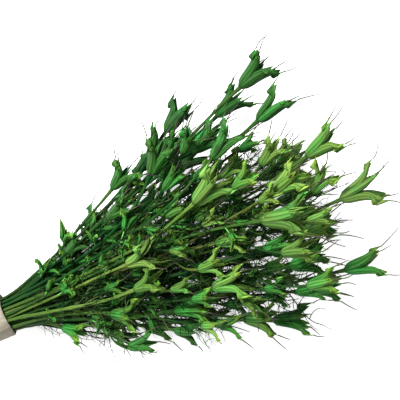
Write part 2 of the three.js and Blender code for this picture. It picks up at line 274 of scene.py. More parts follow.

# %% [markdown]
# Whoever ties such a bunch sets the finest heads first and fills up round them. So the
# leading heads are a given list. Each says how far to the side and how high it
# points, how far it reaches, how much its pod turns on from there, and the pod's size.

# %% The leading heads: fan, lift, reach, turn, size
LEADERS = [
    (21.5, 9, 284, 0, 1.15),
    (21, 3, 252, 0, 1.05),
    (15, 12, 278, 5, 1.1),
    (14.5, 16, 232, 16, 1.05),
    (26.5, 5, 212, 6, 1.05),
    (25, 8, 186, 14, 1.0),
    (19.5, 11, 218, -8, 1.1),
    (18, 17, 183, 26, 1.0),
    (10.5, 17, 200, 14, 1.25),
    (5.5, 12, 296, 10, 1.1),
    (2.5, 14, 258, 12, 1.1),
    (-3, 10, 307, 6, 1.2),
    (-14.5, 7, 296, 8, 1.1),
    (-17.5, 4, 262, 2, 1.0),
    (-12, 11, 252, 4, 1.1),
    (-21.5, 3, 232, 4, 1.05),
    (-22.5, 8, 206, -6, 1.0),
    (-1.5, 17, 244, -14, 1.3),
    (-14, 14, 186, 10, 1.05),
    (-3.5, 18, 162, 44, 1.1),
    (1, 19, 124, 0, 1.0),
    (-20, 12, 150, 8, 1.0),
    (-10, 18, 122, 12, 0.85),
    (19, 14, 108, 20, 0.95),
    (-4, 21, 88, 24, 0.85),
    (13, 20, 66, 16, 0.85),
    (25.5, 6, 112, 2, 0.9),
    (-27, 4, 120, -4, 0.9),
    (-29, 8, 84, -4, 0.85),
    (18, 12, 76, 4, 0.85),
    (15, 15, 44, 2, 0.7),
    (-20, 16, 96, -8, 0.9),
    (-28.5, 10, 96, 6, 0.85),
    (-32, 4, 62, 4, 0.8),
    (-31, 12, 50, -6, 0.75),
]
print(len(LEADERS), "leading heads,", SPRAY_COUNT, "places at the tie")

# %% [markdown]
# The rest grew as it liked. These are the limits of that chance, each with its lowest
# and its highest value.

# %% What is left to chance
FOLLICLES = (3, 6)
SPIN = (0, 360)
SWAY = (-3.5, 3.5)
RISE = (-2, 2)
TURN = (-9, 12)
NOD = (-7, 10)
POD_SIZE = (0.82, 1.08)
TAIL = (112, 136)
BRANCH_SHARE = (0.2, 0.9)
BRANCH_FORWARD = (22, 66)
BRANCH_ASIDE = (10, 30)
BRANCH_LEAN = (-0.2, 1.1)
BRANCH_POD_SIZE = (0.56, 0.95)
print("pods have", FOLLICLES[0], "to", FOLLICLES[1] - 1, "follicles")

# %% [markdown]
# Python's own random numbers would do for one script, but the CAD model throws the same
# dice, so the dice are written out: each throw is worked out from the one before.


# %% Directions, outline and paths
class Dice:
    """A small random number generator that gives the same throws everywhere."""

    def __init__(self, state):
        self.state = state

    def roll(self, low, high):
        self.state = (self.state * 16807) % 2147483647
        return low + (high - low) * (self.state / 2147483647)


dice = Dice(1812)


def heading(fan, lift):
    """The direction that is fan degrees to the side and lift degrees up."""
    fan = math.radians(fan)
    lift = math.radians(lift)
    level = math.cos(lift)
    return np.array([level * math.cos(fan), level * math.sin(fan), math.sin(lift)])


def longest_reach(fan):
    """How far the outline of the bunch goes in that direction."""
    index = 0
    while index < len(OUTLINE) - 2 and fan >= OUTLINE[index + 1][0]:
        index += 1
    (fan_a, reach_a), (fan_b, reach_b) = OUTLINE[index : index + 2]
    share = (fan - fan_a) / (fan_b - fan_a)
    return max(REACH_SHORTEST, reach_a + (reach_b - reach_a) * share)


def bezier(p0, p1, p2, p3, t):
    t = np.atleast_1d(t)[:, None]
    u = 1 - t
    return p0 * u**3 + p1 * 3 * u**2 * t + p2 * 3 * u * t**2 + p3 * t**3


print("straight ahead the bunch reaches", round(longest_reach(0)), "mm")

# %% [markdown]
# Two stems may touch on a real bunch, but they can't share the same space. To test that
# quickly, each stem and pod is stood for by a few round-ended rods, and the distance
# between two rods is worked out directly. Blender could test the meshes themselves,
# but not thousands of times in a few seconds.


# %% Pods and the rods that stand for them
def make_pod(base, axis, size):
    follicles = math.floor(dice.roll(*FOLLICLES))
    spin = dice.roll(*SPIN)
    return {"base": base, "axis": axis, "size": size, "follicles": follicles, "spin": spin}


def pod_point(pod, share):
    return pod["base"] + pod["axis"] * (share * POD_LENGTH * pod["size"])


def path_rods(points, radius):
    """One rod for each step of a path: two ends and a radius."""
    return np.hstack([points[:-1], points[1:], np.full((len(points) - 1, 1), radius)])


def pod_rods(pod):
    return np.array(
        [
            [*pod_point(pod, low), *pod_point(pod, high), radius * pod["size"]]
            for low, high, radius in POD_RODS
        ]
    )


def rod_boxes(rods):
    ends = np.stack([rods[:, :3], rods[:, 3:6]])
    return ends.min(0) - rods[:, 6:], ends.max(0) + rods[:, 6:]


def is_clear(rods, others):
    """Whether the rods keep their distance from all the others that are near."""
    low, high = rod_boxes(rods)
    others_low, others_high = rod_boxes(others)
    near = (others_low < high.max(0) + CLEARANCE).all(1)
    near &= (others_high > low.min(0) - CLEARANCE).all(1)
    a, b = rods[:, None, :], others[None, near, :]
    along_a, along_b = a[..., 3:6] - a[..., :3], b[..., 3:6] - b[..., :3]
    between = a[..., :3] - b[..., :3]
    aa = (along_a * along_a).sum(-1)
    bb = (along_b * along_b).sum(-1)
    ab = (along_a * along_b).sum(-1)
    from_a = (along_a * between).sum(-1)
    from_b = (along_b * between).sum(-1)
    spread = aa * bb - ab * ab
    skew = spread > NEARLY_PARALLEL
    s = np.where(skew, np.clip((ab * from_b - from_a * bb) / np.where(skew, spread, 1), 0, 1), 0)
    t = np.clip((ab * s + from_b) / bb, 0, 1)
    s = np.clip((ab * t - from_a) / aa, 0, 1)
    gap = np.linalg.norm(between + along_a * s[..., None] - along_b * t[..., None], axis=-1)
    return bool((gap - a[..., 6] - b[..., 6] >= CLEARANCE).all())


print(len(POD_RODS), "rods stand for a pod")

# %% [markdown]
# A stem runs straight through the tie and then bends towards its head. Its free part is
# a Bezier curve, which leaves the tie along the bunch and arrives along the pod's axis.
# A stem that would hit another is thrown again.


# %% Stems
def grow_stem(slot, aim):
    """One stem: straight through the tie, then bent towards its head."""
    axis = heading(aim["fan"] + aim["turn"], aim["lift"] + aim["nod"])
    tie = np.array([TIE_MOUTH, slot["y"], TIE_HEIGHT + slot["z"]])
    head = heading(aim["fan"], aim["lift"]) * aim["reach"] + [0, 0, tie[2]]
    level = math.sqrt(1 - axis[2] ** 2)
    tip_height = head[2] + axis[2] * POD_LENGTH * aim["size"]
    lowest = min(
        tip_height - POD_TIP_RADIUS * aim["size"] * level,
        head[2] - POD_BASE_RADIUS * aim["size"] * level,
    )
    head[2] -= min(0, lowest)
    sleeve_end = np.array([-SLEEVE_LENGTH - TIE_MOUTH, tie[1], tie[2]])
    cut_y = slot["y"] * TAIL_SPREAD_Y
    cut = np.array([-aim["tail"], cut_y, TIE_HEIGHT + slot["z"] * TAIL_SPREAD_Z])
    leave = tie + [LEAVE_SHARE * aim["reach"], 0, 0]
    arrive = head - axis * (ARRIVE_SHARE * aim["reach"])
    free = bezier(tie, leave, arrive, head, np.arange(FREE_STEPS + 1) / FREE_STEPS)
    points = np.vstack([cut, sleeve_end, free])
    return {"points": points, "pods": [make_pod(head, axis, aim["size"])], "branches": []}


def draw_aim(slot, leader, attempt):
    """Where a head is to go: a leader's own place, or a throw within the outline."""
    looseness = attempt / STEM_TRIES if leader else 1
    fan = leader[0] if leader else slot["fan"]
    lift = leader[1] if leader else slot["lift"]
    fan += looseness * dice.roll(*SWAY)
    lift += looseness * dice.roll(*RISE)
    share = dice.roll(0, 1)
    reach = REACH_SHORTEST + (longest_reach(fan) - REACH_SHORTEST) * share
    aim = {"fan": fan, "lift": lift}
    aim["reach"] = leader[2] if leader else reach
    aim["turn"] = leader[3] if leader else dice.roll(*TURN)
    aim["nod"] = dice.roll(*NOD)
    aim["size"] = leader[4] if leader else dice.roll(*POD_SIZE)
    aim["tail"] = dice.roll(*TAIL)
    return aim


def place_stem(slot, leader, sprays):
    others = np.vstack([s["rods"] for s in sprays]) if sprays else np.zeros((0, 7))
    for attempt in range(STEM_TRIES):
        spray = grow_stem(slot, draw_aim(slot, leader, attempt))
        rods = np.vstack([path_rods(spray["points"], STEM_RADIUS), pod_rods(spray["pods"][0])])
        if is_clear(rods[2:], others):
            spray["rods"] = rods
            slot["taken"] = True
            sprays.append(spray)
            return


print("each stem gets up to", STEM_TRIES, "tries")

# %% [markdown]
# Side branches leave the stem at a node and end in a pod as well, a smaller one. One is
# kept only if its pod stays in the bunch's outline and clear of all the others.


# %% Side branches
def grow_branch(spray):
    """A side branch with a pod: it leaves the stem at a node and curves forward."""
    place = 2 + FREE_STEPS * dice.roll(*BRANCH_SHARE)
    index = math.floor(place)
    start, end = spray["points"][index : index + 2]
    joint = start + (end - start) * (place - index)
    along = (end - start) / np.linalg.norm(end - start)
    side = np.cross([0, 0, 1], along)
    side /= np.linalg.norm(side)
    up = np.cross(along, side)
    around = math.radians(dice.roll(*SPIN))
    out = side * math.cos(around) + up * math.sin(around)
    forward = dice.roll(*BRANCH_FORWARD)
    aside = dice.roll(*BRANCH_ASIDE)
    tip = joint + along * forward + out * aside
    leave = joint + along * (0.3 * forward) + out * (0.45 * aside)
    axis = along * forward + out * (dice.roll(*BRANCH_LEAN) * aside)
    axis /= np.linalg.norm(axis)
    arrive = tip - axis * (0.35 * forward)
    points = bezier(joint, leave, arrive, tip, np.arange(BRANCH_STEPS + 1) / BRANCH_STEPS)
    return points, make_pod(tip, axis, dice.roll(*BRANCH_POD_SIZE))


def is_inside_fan(pod):
    """Whether a pod is above the table and inside the bunch's outline."""
    tip = pod_point(pod, 1)
    fan = math.degrees(math.atan2(tip[1], tip[0]))
    distance = math.hypot(tip[0], tip[1])
    lift = math.degrees(math.atan2(tip[2] - TIE_HEIGHT, distance))
    level = math.sqrt(1 - pod["axis"][2] ** 2)
    above = tip[2] >= POD_TIP_RADIUS * pod["size"] * level
    above = above and pod["base"][2] >= POD_BASE_RADIUS * pod["size"]
    within = distance < longest_reach(fan) + POD_LENGTH
    return above and FAN_LOWEST < fan < FAN_HIGHEST and lift < LIFT_LIMIT and within


def add_branch(spray, sprays):
    others = np.vstack([s["pod_rods"] if s is spray else s["rods"] for s in sprays])
    for _ in range(BRANCH_TRIES):
        points, pod = grow_branch(spray)
        if not is_inside_fan(pod):
            continue
        rods = np.vstack([path_rods(points, BRANCH_RADIUS), pod_rods(pod)])
        if is_clear(rods[BRANCH_STEPS:], others) and is_clear(rods[:BRANCH_STEPS], others):
            spray["branches"].append(points)
            spray["pods"].append(pod)
            spray["rods"] = np.vstack([spray["rods"], rods])
            spray["pod_rods"] = np.vstack([spray["pod_rods"], rods[BRANCH_STEPS:]])
            return


print("each branch gets up to", BRANCH_TRIES, "tries")

# %% [markdown]
# Now the bunch is tied: places at the tie are spread evenly over its round section, as
# seeds are in a sunflower, leading heads take the places that suit them best, the other
# stems follow, and then the branches grow, at most one to each stem in each round.


# %% The whole bunch
def lay_out_bunch():
    slots = []
    for index in range(SPRAY_COUNT):
        radius = TIE_RADIUS * math.sqrt((index + 0.5) / SPRAY_COUNT)
        y = radius * math.cos(index * GOLDEN_ANGLE)
        z = radius * math.sin(index * GOLDEN_ANGLE)
        fan = FAN_HALF_ANGLE * y / TIE_RADIUS
        lift = LIFT_MIDDLE + LIFT_HALF_ANGLE * z / TIE_RADIUS
        slots.append({"y": y, "z": z, "fan": fan, "lift": lift, "taken": False})
    sprays = []
    for leader in LEADERS:

        def miss(slot):
            fan_miss = abs(slot["fan"] - leader[0]) / FAN_HALF_ANGLE
            return fan_miss + abs(slot["lift"] - leader[1]) / LIFT_HALF_ANGLE

        place_stem(min((s for s in slots if not s["taken"]), key=miss), leader, sprays)
    for slot in [s for s in slots if not s["taken"]]:
        place_stem(slot, None, sprays)
    for spray in sprays:
        spray["pod_rods"] = pod_rods(spray["pods"][0])
    for _ in range(BRANCH_ROUNDS):
        for spray in sprays:
            add_branch(spray, sprays)
    return sprays


sprays = lay_out_bunch()
print(len(sprays), "sprays with", sum(len(s["pods"]) for s in sprays), "pods")

# %% [markdown]
# The sleeve's box tells where the layout sits in the frame. Each stem's own points must
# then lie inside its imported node: the worst miss is printed. The detailed tips are longer
# than the plain solids' ends, so they are bent back softly where they would leave the
# object's box by too much, which `ROOM` limits ahead, to the sides and above.

# %% From the layout to the frame
ROOM = (0.015, 0.011, 0.009)
CUSHION = 0.004
shift = np.array([sleeve_high.x, sleeve_middle.y, sleeve_middle.z - TIE_HEIGHT * MM])


def to_frame(points):
    """Layout millimetres to the frame's metres."""
    return np.asarray(points) * MM + shift


def soft_limit(values, limit, give):
    """Leaves values below the limit alone and lets higher ones pass it by less than give."""
    over = np.maximum(values - limit, 0)
    return np.minimum(values, limit) + give * (1 - np.exp(-over / give))


def keep_in_room(points):
    """Bends what would pass the table or stick far out of the CAD box back inside."""
    kept_in = points.copy()
    for axis, room in enumerate(ROOM):
        kept_in[:, axis] = soft_limit(points[:, axis], cad_high[axis], room)
        if axis < 2:
            kept_in[:, axis] = -soft_limit(-kept_in[:, axis], -cad_low[axis], room)
    kept_in[:, 2] = -soft_limit(-kept_in[:, 2], -(cad_low.z + CUSHION), CUSHION)
    return kept_in


worst = 0
for number, spray in enumerate(sprays, 1):
    low, high = (np.array(corner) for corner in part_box(f"spray_{number:02d}"))
    inside = to_frame(np.vstack([spray["points"], *spray["branches"]]))
    worst = max(worst, (low - inside).max(), (inside - high).max())
print("worst miss", round(worst * 1000, 3), "mm")

# %% [markdown]
# ## Pods
#
# A follicle is a flat-sided boat: a rounded outer keel, two ribbed faces, and an inner
# seam. Low down the seam is closed and joined to its neighbours; higher up it opens
# into a trough that ends in points, one of them drawn out into the beak. Sculpting more
# than five hundred of them by hand is out of the question, so each is a grid: rows run
# from base to tip and columns from one seam edge, over the keel, to the other. Three
# curves give the keel's distance from the pod's axis, how deep the boat is, and half its
# width, at the same shares of its length.

# %% The curves of a follicle
ROWS = 11
COLUMNS = 16
WALL = 0.35
SHARES = np.array([0, 0.06, 0.14, 0.28, 0.45, 0.62, 0.80, 1.0])
KEEL = np.array([1.6, 3.5, 4.8, 6.0, 7.2, 9.0, 11.6, 14.6])
DEPTH = np.array([1.5, 3.4, 4.7, 5.7, 6.1, 5.8, 5.0, 3.2])
HALF_WIDTH = np.array([0.9, 2.3, 3.1, 3.5, 3.3, 2.8, 2.1, 1.0])
RIBS = 4
RIB_HEIGHT = 0.2
rng = np.random.default_rng(41)


def smooth_line(values, places, at):
    """A smooth line through values that are given at places, read off anywhere."""
    slopes = np.gradient(values, places, axis=0)
    index = np.clip(np.searchsorted(places, at, "right") - 1, 0, len(places) - 2)
    width = places[index + 1] - places[index]
    t = (at - places[index]) / width
    if values.ndim > 1:
        width, t = width[:, None], t[:, None]
    start = values[index] * (1 + 2 * t) * (1 - t) ** 2 + slopes[index] * width * t * (1 - t) ** 2
    end = values[index + 1] * t**2 * (3 - 2 * t) + slopes[index + 1] * width * t**2 * (t - 1)
    return start + end


def smooth_step(low, high, at):
    t = np.clip((at - low) / (high - low), 0, 1)
    return t * t * (3 - 2 * t)


print("a follicle is up to", DEPTH.max(), "mm deep and", 2 * HALF_WIDTH.max(), "mm wide")

# %% [markdown]
# No two follicles are alike: some hardly open, some flare wide, and some lean over. The
# faces between the ribs are pushed in a little. The tip is notched between the keel and
# the seam edges, and a wave along its end gives it the torn look. A Displace modifier
# could tear it too, but a formula knows where the keel and the edges are.

# %% One follicle as a grid of points
OPENS = (0.4, 0.85)
FLARES = (0.35, 1.1)
FLARE_PUSH = 9
EDGE_ROLL = 1.3
NOTCH_PLACE = 0.45
NOTCH_WIDTH = 0.2
NOTCH_DEPTH = 0.25
NOTCHED = (0.6, 1)
TEAR_DEPTH = 0.06
TORN = (0.7, 1)


def follicle_points(flare, fatness, opening, lean, length):
    """Points (row, column, xyz) with x along the pod, y outward and z to the side, in mm."""
    v = np.linspace(0, 1, ROWS)[:, None]
    u = np.linspace(-1, 1, COLUMNS + 1)[None, :]
    side = np.abs(u)
    opened = opening * smooth_step(*OPENS, v)
    keel = smooth_line(KEEL, SHARES, v) + (flare - 1) * FLARE_PUSH * smooth_step(*FLARES, v)
    depth = smooth_line(DEPTH, SHARES, v)
    half_width = smooth_line(HALF_WIDTH, SHARES, v) * fatness
    inward = 0.55 * side + 0.45 * (1 - np.cos(np.pi * side)) / 2
    closed_side = half_width * np.sin(np.pi * side)
    open_side = (half_width + EDGE_ROLL) * side**0.8
    across = np.sign(u) * (closed_side * (1 - opened) + open_side * opened) + lean * v**2
    outward = keel - depth * inward
    notch = np.exp(-(((side - NOTCH_PLACE) / NOTCH_WIDTH) ** 2)) * (0.4 + opening) + 0.5 * side
    torn = TEAR_DEPTH * np.sin(9 * u + 4 * lean) * smooth_step(*TORN, v)
    along = length * (v * (1 - NOTCH_DEPTH * notch * smooth_step(*NOTCHED, v)) + torn)
    points = np.stack([along, outward, across], axis=-1)
    rib = RIB_HEIGHT * np.cos(2 * np.pi * RIBS * side) * np.sin(np.pi * v) ** 0.5
    return points + grid_normals(points) * rib[..., None]


print("a follicle's grid has", ROWS * (COLUMNS + 1), "points")

# %% [markdown]
# A grid has no thickness, and a follicle's wall can be seen where it has torn open. So a
# second grid lies one wall further in, and a strip of faces closes the rim. A Solidify
# modifier does the same for one object, but these are gathered into one mesh per spray.


# %% From a grid to a shell
def grid_normals(points):
    """The direction across a grid of points at each of them."""
    normal = np.cross(np.gradient(points, axis=0), np.gradient(points, axis=1))
    return normal / (np.linalg.norm(normal, axis=-1, keepdims=True) + 1e-9)


def shell(points, wall):
    """The outer grid, an inner one a wall further in, and the faces that close the shell."""
    rows, columns = points.shape[:2]
    inner = points - grid_normals(points) * wall
    index = np.arange(rows * columns).reshape(rows, columns)
    a, b, c, d = index[:-1, :-1], index[:-1, 1:], index[1:, 1:], index[1:, :-1]
    outer_faces = np.stack([a, b, c, d], -1).reshape(-1, 4)
    inner_faces = np.stack([d, c, b, a], -1).reshape(-1, 4) + index.size
    rim = np.concatenate([index[0, :-1], index[:-1, -1], index[-1, :0:-1], index[:0:-1, 0]])
    following = np.roll(rim, -1)
    rim_faces = np.stack([following, rim, rim + index.size, following + index.size], -1)
    vertices = np.vstack([points.reshape(-1, 3), inner.reshape(-1, 3)])
    return vertices, np.vstack([outer_faces, inner_faces, rim_faces])


def shell_places(rows, columns):
    """For each point of a shell: how far along and across it lies, and whether inside."""
    along = np.tile(np.repeat(np.linspace(0, 1, rows), columns), 2)
    across = np.tile(np.tile(np.linspace(-1, 1, columns), rows), 2)
    return np.stack([along, across, np.repeat([0, 1], rows * columns)], 1)


print("a follicle's shell has", ROWS * (COLUMNS + 1) * 2, "points")

# %% [markdown]
# The beak is the dried style: a thin wiry tube that carries on from the keel and bends
# as it dries. A curve with a bevel would give it too, but there are hundreds, and all of
# a spray is to be one mesh. So it is the same kind of grid, wrapped round a path.

# %% A beak as a thin tube
BEAK_POINTS = 6
BEAK_SIDES = 4


def frames_along(path):
    """Two directions across the path at each of its points."""
    tangent = np.gradient(path, axis=0)
    tangent /= np.linalg.norm(tangent, axis=1, keepdims=True)
    helper = np.array([0, 0, 1.0]) if abs(tangent[0, 2]) < 0.8 else np.array([0, 1.0, 0])
    first = np.cross(tangent, helper)
    first /= np.linalg.norm(first, axis=1, keepdims=True)
    return first, np.cross(tangent, first)


def tube(path, radii, sides):
    """A closed tube: rings round the path, and a point at each end."""
    first, second = frames_along(path)
    angle = np.arange(sides) * 2 * np.pi / sides
    ring = first[:, None] * np.cos(angle)[:, None] + second[:, None] * np.sin(angle)[:, None]
    rings = path[:, None] + ring * np.asarray(radii)[:, None, None]
    count = len(path)
    index = np.arange(count * sides).reshape(count, sides)
    after = np.roll(index, -1, axis=1)
    body = np.stack([index[:-1], after[:-1], after[1:], index[1:]], -1).reshape(-1, 4)
    vertices = np.vstack([rings.reshape(-1, 3), path[:1], path[-1:]])
    start, end = count * sides, count * sides + 1
    start_cap = np.stack([after[0], index[0], np.full(sides, start)], -1)
    end_cap = np.stack([index[-1], after[-1], np.full(sides, end)], -1)
    return vertices, [*body.tolist(), *start_cap.tolist(), *end_cap.tolist()]


def beak_path(start, direction, length, bend):
    """A path that starts along direction and bends sideways as it goes."""
    t = np.linspace(0, 1, BEAK_POINTS)[:, None]
    return start + direction * length * t + bend * t**2


print("a beak has", BEAK_POINTS * BEAK_SIDES + 2, "points")

# %% [markdown]
# A `Clay` gathers vertices, faces and the two values that the paint needs at each
# vertex: `place` says where on the follicle it is, and `tint` is the pod's own shade,
# with painted light mixed in for pods high in the bunch.


# %% Gathering a mesh
class Clay:
    """Vertices and faces of one piece, with their paint values and material numbers."""

    def __init__(self):
        self.vertices = []
        self.faces = []
        self.materials = []
        self.place = []
        self.tint = []
        self.count = 0

    def add(self, vertices, faces, material=0, place=(0, 0, 0), tint=(0, 0, 0)):
        self.vertices.append(vertices)
        self.faces.extend([[corner + self.count for corner in face] for face in faces])
        self.materials.extend([material] * len(faces))
        self.place.append(np.broadcast_to(place, (len(vertices), 3)))
        self.tint.append(np.broadcast_to(tint, (len(vertices), 3)))
        self.count += len(vertices)

    def mesh(self, name):
        made = bpy.data.meshes.new(name)
        made.from_pydata(np.vstack(self.vertices).tolist(), [], self.faces)
        for key, values in (("place", self.place), ("tint", self.tint)):
            attribute = made.attributes.new(key, "FLOAT_VECTOR", "POINT")
            attribute.data.foreach_set("vector", np.vstack(values).astype(np.float32).ravel())
        made.polygons.foreach_set("material_index", self.materials)
        made.polygons.foreach_set("use_smooth", [True] * len(self.faces))
        made.update()
        return made


print("ready to gather meshes")

# %% [markdown]
# The dye took unevenly. Sprays at one side of the fan are dark, those in the middle are
# yellow, and each pod differs from the next. Pods on top of the bunch are made paler
# still: painted light from above. The tint keeps that as numbers on the mesh, so that one
# material can paint all the pods: how bright the green is, how yellow it is, and a shade
# for each follicle.

# %% The tint of a pod
DARK_FAN = (9, 18)
YELLOW_FAN = 4
YELLOW_WIDTH = 7
LIT_TOP_HEIGHTS = (35, 95)


def fan_angle(point):
    """How far to the side of the bunch's axis a point lies, seen from the tie."""
    return math.degrees(math.atan2(point[1], point[0]))


def darkness(point):
    """How dark the dye is: the sprays at the largest fan angles took the most of it."""
    return smooth_step(*DARK_FAN, fan_angle(point))


def centring(point):
    """How near a point is to the middle of the fan, where the dye is thin and yellow."""
    return math.exp(-(((fan_angle(point) - YELLOW_FAN) / YELLOW_WIDTH) ** 2))


def pod_tint(pod):
    tip = pod_point(pod, 1)
    dark = darkness(tip)
    # Pods high in the bunch are painted paler and yellower: painted light from above.
    high = smooth_step(*LIT_TOP_HEIGHTS, tip[2])
    shade = rng.uniform(0, 1) * (1 - 0.85 * dark)
    top_light_and_thin_dye = (0.32 * high + 0.4 * centring(tip)) * (1 - dark)
    yellow = rng.uniform(0, 0.6) * (1 - 0.6 * dark) + top_light_and_thin_dye
    return np.array([shade, yellow, 0])


print("straight ahead the dye is yellow by", round(centring((1, 0)), 2))

# %% [markdown]
# A beak starts a little inside the tip of the keel and goes on in its direction. Some
# broke off when the bunch was packed, so about one in eight is a stump.

# %% The beak of a follicle
POD_SKIN, BEAK_SKIN = range(2)
BEAK_LENGTH = (10, 20)
STUMP_LENGTH = (2, 5)
WHOLE_BEAKS = 0.88
BEAK_ROOT = 1.2
BEAK_RADII = (0.55, 0.27)
BEAK_BEND = (0.8, 2.8, 2.8)
BEAK_WANDER = 0.12


def pod_to_frame(pod, turn, points):
    """From a follicle's own directions to its place in the bunch."""
    return keep_in_room(to_frame(pod["base"] + (points @ turn) * pod["size"]))


def add_beak(clay, pod, turn, keel, tint):
    """Adds the beak that carries on from the keel, a row of points from base to tip."""
    direction = keel[-1] - keel[-3]
    direction = direction / np.linalg.norm(direction) + rng.normal(0, BEAK_WANDER, 3)
    length = rng.uniform(*BEAK_LENGTH) if rng.uniform() < WHOLE_BEAKS else rng.uniform(*STUMP_LENGTH)
    bend = rng.normal(0, 1, 3) * BEAK_BEND
    path = beak_path(keel[-1] - direction * BEAK_ROOT, direction, length, bend)
    radii = np.linspace(*BEAK_RADII, BEAK_POINTS) * MM
    vertices, faces = tube(pod_to_frame(pod, turn, path), radii, BEAK_SIDES)
    share = np.append(np.repeat(np.linspace(0, 1, BEAK_POINTS), BEAK_SIDES), [0, 1])
    place = np.stack([share, share * 0, share * 0], 1)
    clay.add(vertices, faces, BEAK_SKIN, place, tint)


print("beaks are", BEAK_LENGTH[0], "to", BEAK_LENGTH[1], "mm long")

# %% [markdown]
# A pod turns its follicles round its axis, at the base where the stalk ends. Some never
# filled: those stay slender and hardly open. A pod of three has wider follicles than one
# of five, since they share the same round base.

# %% One pod
POD_FLARE = (0.75, 1.3)
POD_OPENING = (0.45, 1)
SLENDER_SHARE = 0.2
SLENDER_FATNESS = 0.55
SLENDER_OPENING = 0.1
WIDE_OF_THREE = 1.22
AROUND_MISS = (-7, 7)
FOLLICLE_FLARE = (0.8, 1.25)
FOLLICLE_FATNESS = (0.85, 1.1)
FOLLICLE_OPENING = (0.7, 1)
FOLLICLE_LENGTH = (0.9, 1.04)
FOLLICLE_LEAN = (-2.5, 2.5)
YELLOW_MISS = (-0.12, 0.12)


def across_axis(axis):
    """Two directions across a pod's axis."""
    helper = np.array([0, 0, 1.0]) if abs(axis[2]) < 0.9 else np.array([0, 1.0, 0])
    first = np.cross(axis, helper)
    first /= np.linalg.norm(first)
    return first, np.cross(axis, first)


def add_pod(clay, pod):
    """Adds the follicles and beaks of one pod."""
    axis = pod["axis"]
    first, second = across_axis(axis)
    count = pod["follicles"]
    pod_flare = rng.uniform(*POD_FLARE)
    pod_opening = rng.uniform(*POD_OPENING)
    tint = pod_tint(pod)
    widening = WIDE_OF_THREE if count == 3 else 1.0
    for index in range(count):
        around = math.radians(pod["spin"] + 360 * index / count + rng.uniform(*AROUND_MISS))
        outward = first * math.cos(around) + second * math.sin(around)
        turn = np.stack([axis, outward, np.cross(axis, outward)])
        slender = rng.uniform() < SLENDER_SHARE
        flare = pod_flare * rng.uniform(*FOLLICLE_FLARE)
        fatness = (SLENDER_FATNESS if slender else rng.uniform(*FOLLICLE_FATNESS)) * widening
        opening = SLENDER_OPENING if slender else pod_opening * rng.uniform(*FOLLICLE_OPENING)
        length = POD_LENGTH * rng.uniform(*FOLLICLE_LENGTH)
        lean = rng.uniform(*FOLLICLE_LEAN)
        grid = follicle_points(flare, fatness, opening, lean, length)
        local, faces = shell(grid, WALL)
        own = tint + [0, rng.uniform(*YELLOW_MISS), rng.uniform()]
        points = pod_to_frame(pod, turn, local)
        clay.add(points, faces, POD_SKIN, shell_places(*grid.shape[:2]), own)
        add_beak(clay, pod, turn, grid[:, grid.shape[1] // 2], own)


print("pods ready to be made")

# %% [markdown]
# ## Stalks and thread leaves
#
# A stem is a long path with a ribbed section, a little thicker at each node and under
# the pod, and thread-like leaves come off it all the way. That is a shape that follows
# a path and repeats along it, which is what Geometry Nodes are for. The paths come
# first: the layout's few points, made smooth and slightly uneven, with a radius at each.

# %% Smooth paths
STEP = 5.0
STEM_RADII = (1.55, 1.2)
STEM_THICKNESS = (0.92, 1.15)
BRANCH_RADII = (0.95, 0.8)
NODE_SPACING = 46.0
NODE_SWELL = 0.35
NODE_LENGTH = 2.4
HEAD_SWELL = 0.8
HEAD_SWELL_LENGTH = 6.5
WAVE_HEIGHT = 0.5
WAVE_LENGTH = (17, 30)
FREE_OF_TIE = (20, 70)


def smooth_path(points):
    """A smooth line through the points, with a point about every step."""
    gaps = np.linalg.norm(np.diff(points, axis=0), axis=1)
    at = np.append(0, np.cumsum(gaps))
    fine = np.linspace(0, at[-1], max(4, int(at[-1] / STEP) + 1))
    return smooth_line(points, at, fine), fine


def stalk_radii(at, start, end, pod_size):
    """Thinner towards the head, with swollen nodes and a thick last stretch under the pod."""
    total = at[-1]
    radius = start + (end - start) * at / total
    phase = rng.uniform(0, NODE_SPACING)
    from_node = np.abs((at + phase) % NODE_SPACING - NODE_SPACING / 2)
    radius *= 1 + NODE_SWELL * np.exp(-((from_node / NODE_LENGTH) ** 2))
    return radius + HEAD_SWELL * pod_size * np.exp(-(((total - at) / HEAD_SWELL_LENGTH) ** 2))


def add_spline(curve, points, radii):
    spline = curve.splines.new("POLY")
    spline.points.add(len(points) - 1)
    flat = np.hstack([points, np.ones((len(points), 1))])
    spline.points.foreach_set("co", flat.astype(np.float32).ravel())
    spline.points.foreach_set("radius", np.asarray(radii, np.float32))


def stalk_curve(name, spray):
    """A curve object with the spray's stem and branches."""
    curve = bpy.data.curves.new(name, "CURVE")
    curve.dimensions = "3D"
    thickness = rng.uniform(*STEM_THICKNESS)
    points, at = smooth_path(spray["points"])
    free = smooth_step(*FREE_OF_TIE, points[:, 0])[:, None]
    waves = [np.sin(at / rng.uniform(*WAVE_LENGTH) + rng.uniform(0, 6)) for _ in range(3)]
    held = smooth_step(0, 30, at[-1] - at)[:, None]
    points = points + WAVE_HEIGHT * np.stack(waves, 1) * free * held
    start, end = (radius * thickness for radius in STEM_RADII)
    radii = stalk_radii(at, start, end, spray["pods"][0]["size"])
    add_spline(curve, to_frame(points), radii * MM)
    for branch, pod in zip(spray["branches"], spray["pods"][1:]):
        points, at = smooth_path(branch)
        add_spline(curve, to_frame(points), stalk_radii(at, *BRANCH_RADII, pod["size"]) * MM)
    return put(name, curve)


print("stem nodes every", NODE_SPACING, "mm")

# %% [markdown]
# Nigella leaves are cut into fine threads. Dry, they curl into wisps. One leaf is a thin
# main thread with side threads; a few different ones are enough, because each copy is
# turned and scaled on its own. The threads are three-sided, since there are more than a
# thousand leaves. Hair particles would be lighter still, but they aren't meshes that can
# be handed on.

# %% Thread leaves
LEAF_KINDS = 5
FEWEST_THREADS = 4
LEAF_LENGTH = (28, 46)
LEAF_CURL = 12
LEAF_DROOP = (0.3, 0.75)
MAIN_POINTS = 9
SIDE_POINTS = 6
SIDE_REACH = (7, 15)
SIDE_FORWARD = (6, 15)
MAIN_RADIUS = 0.55
SIDE_RADIUS = 0.38
THREAD_END = 0.45
THREAD_SIDES = 3


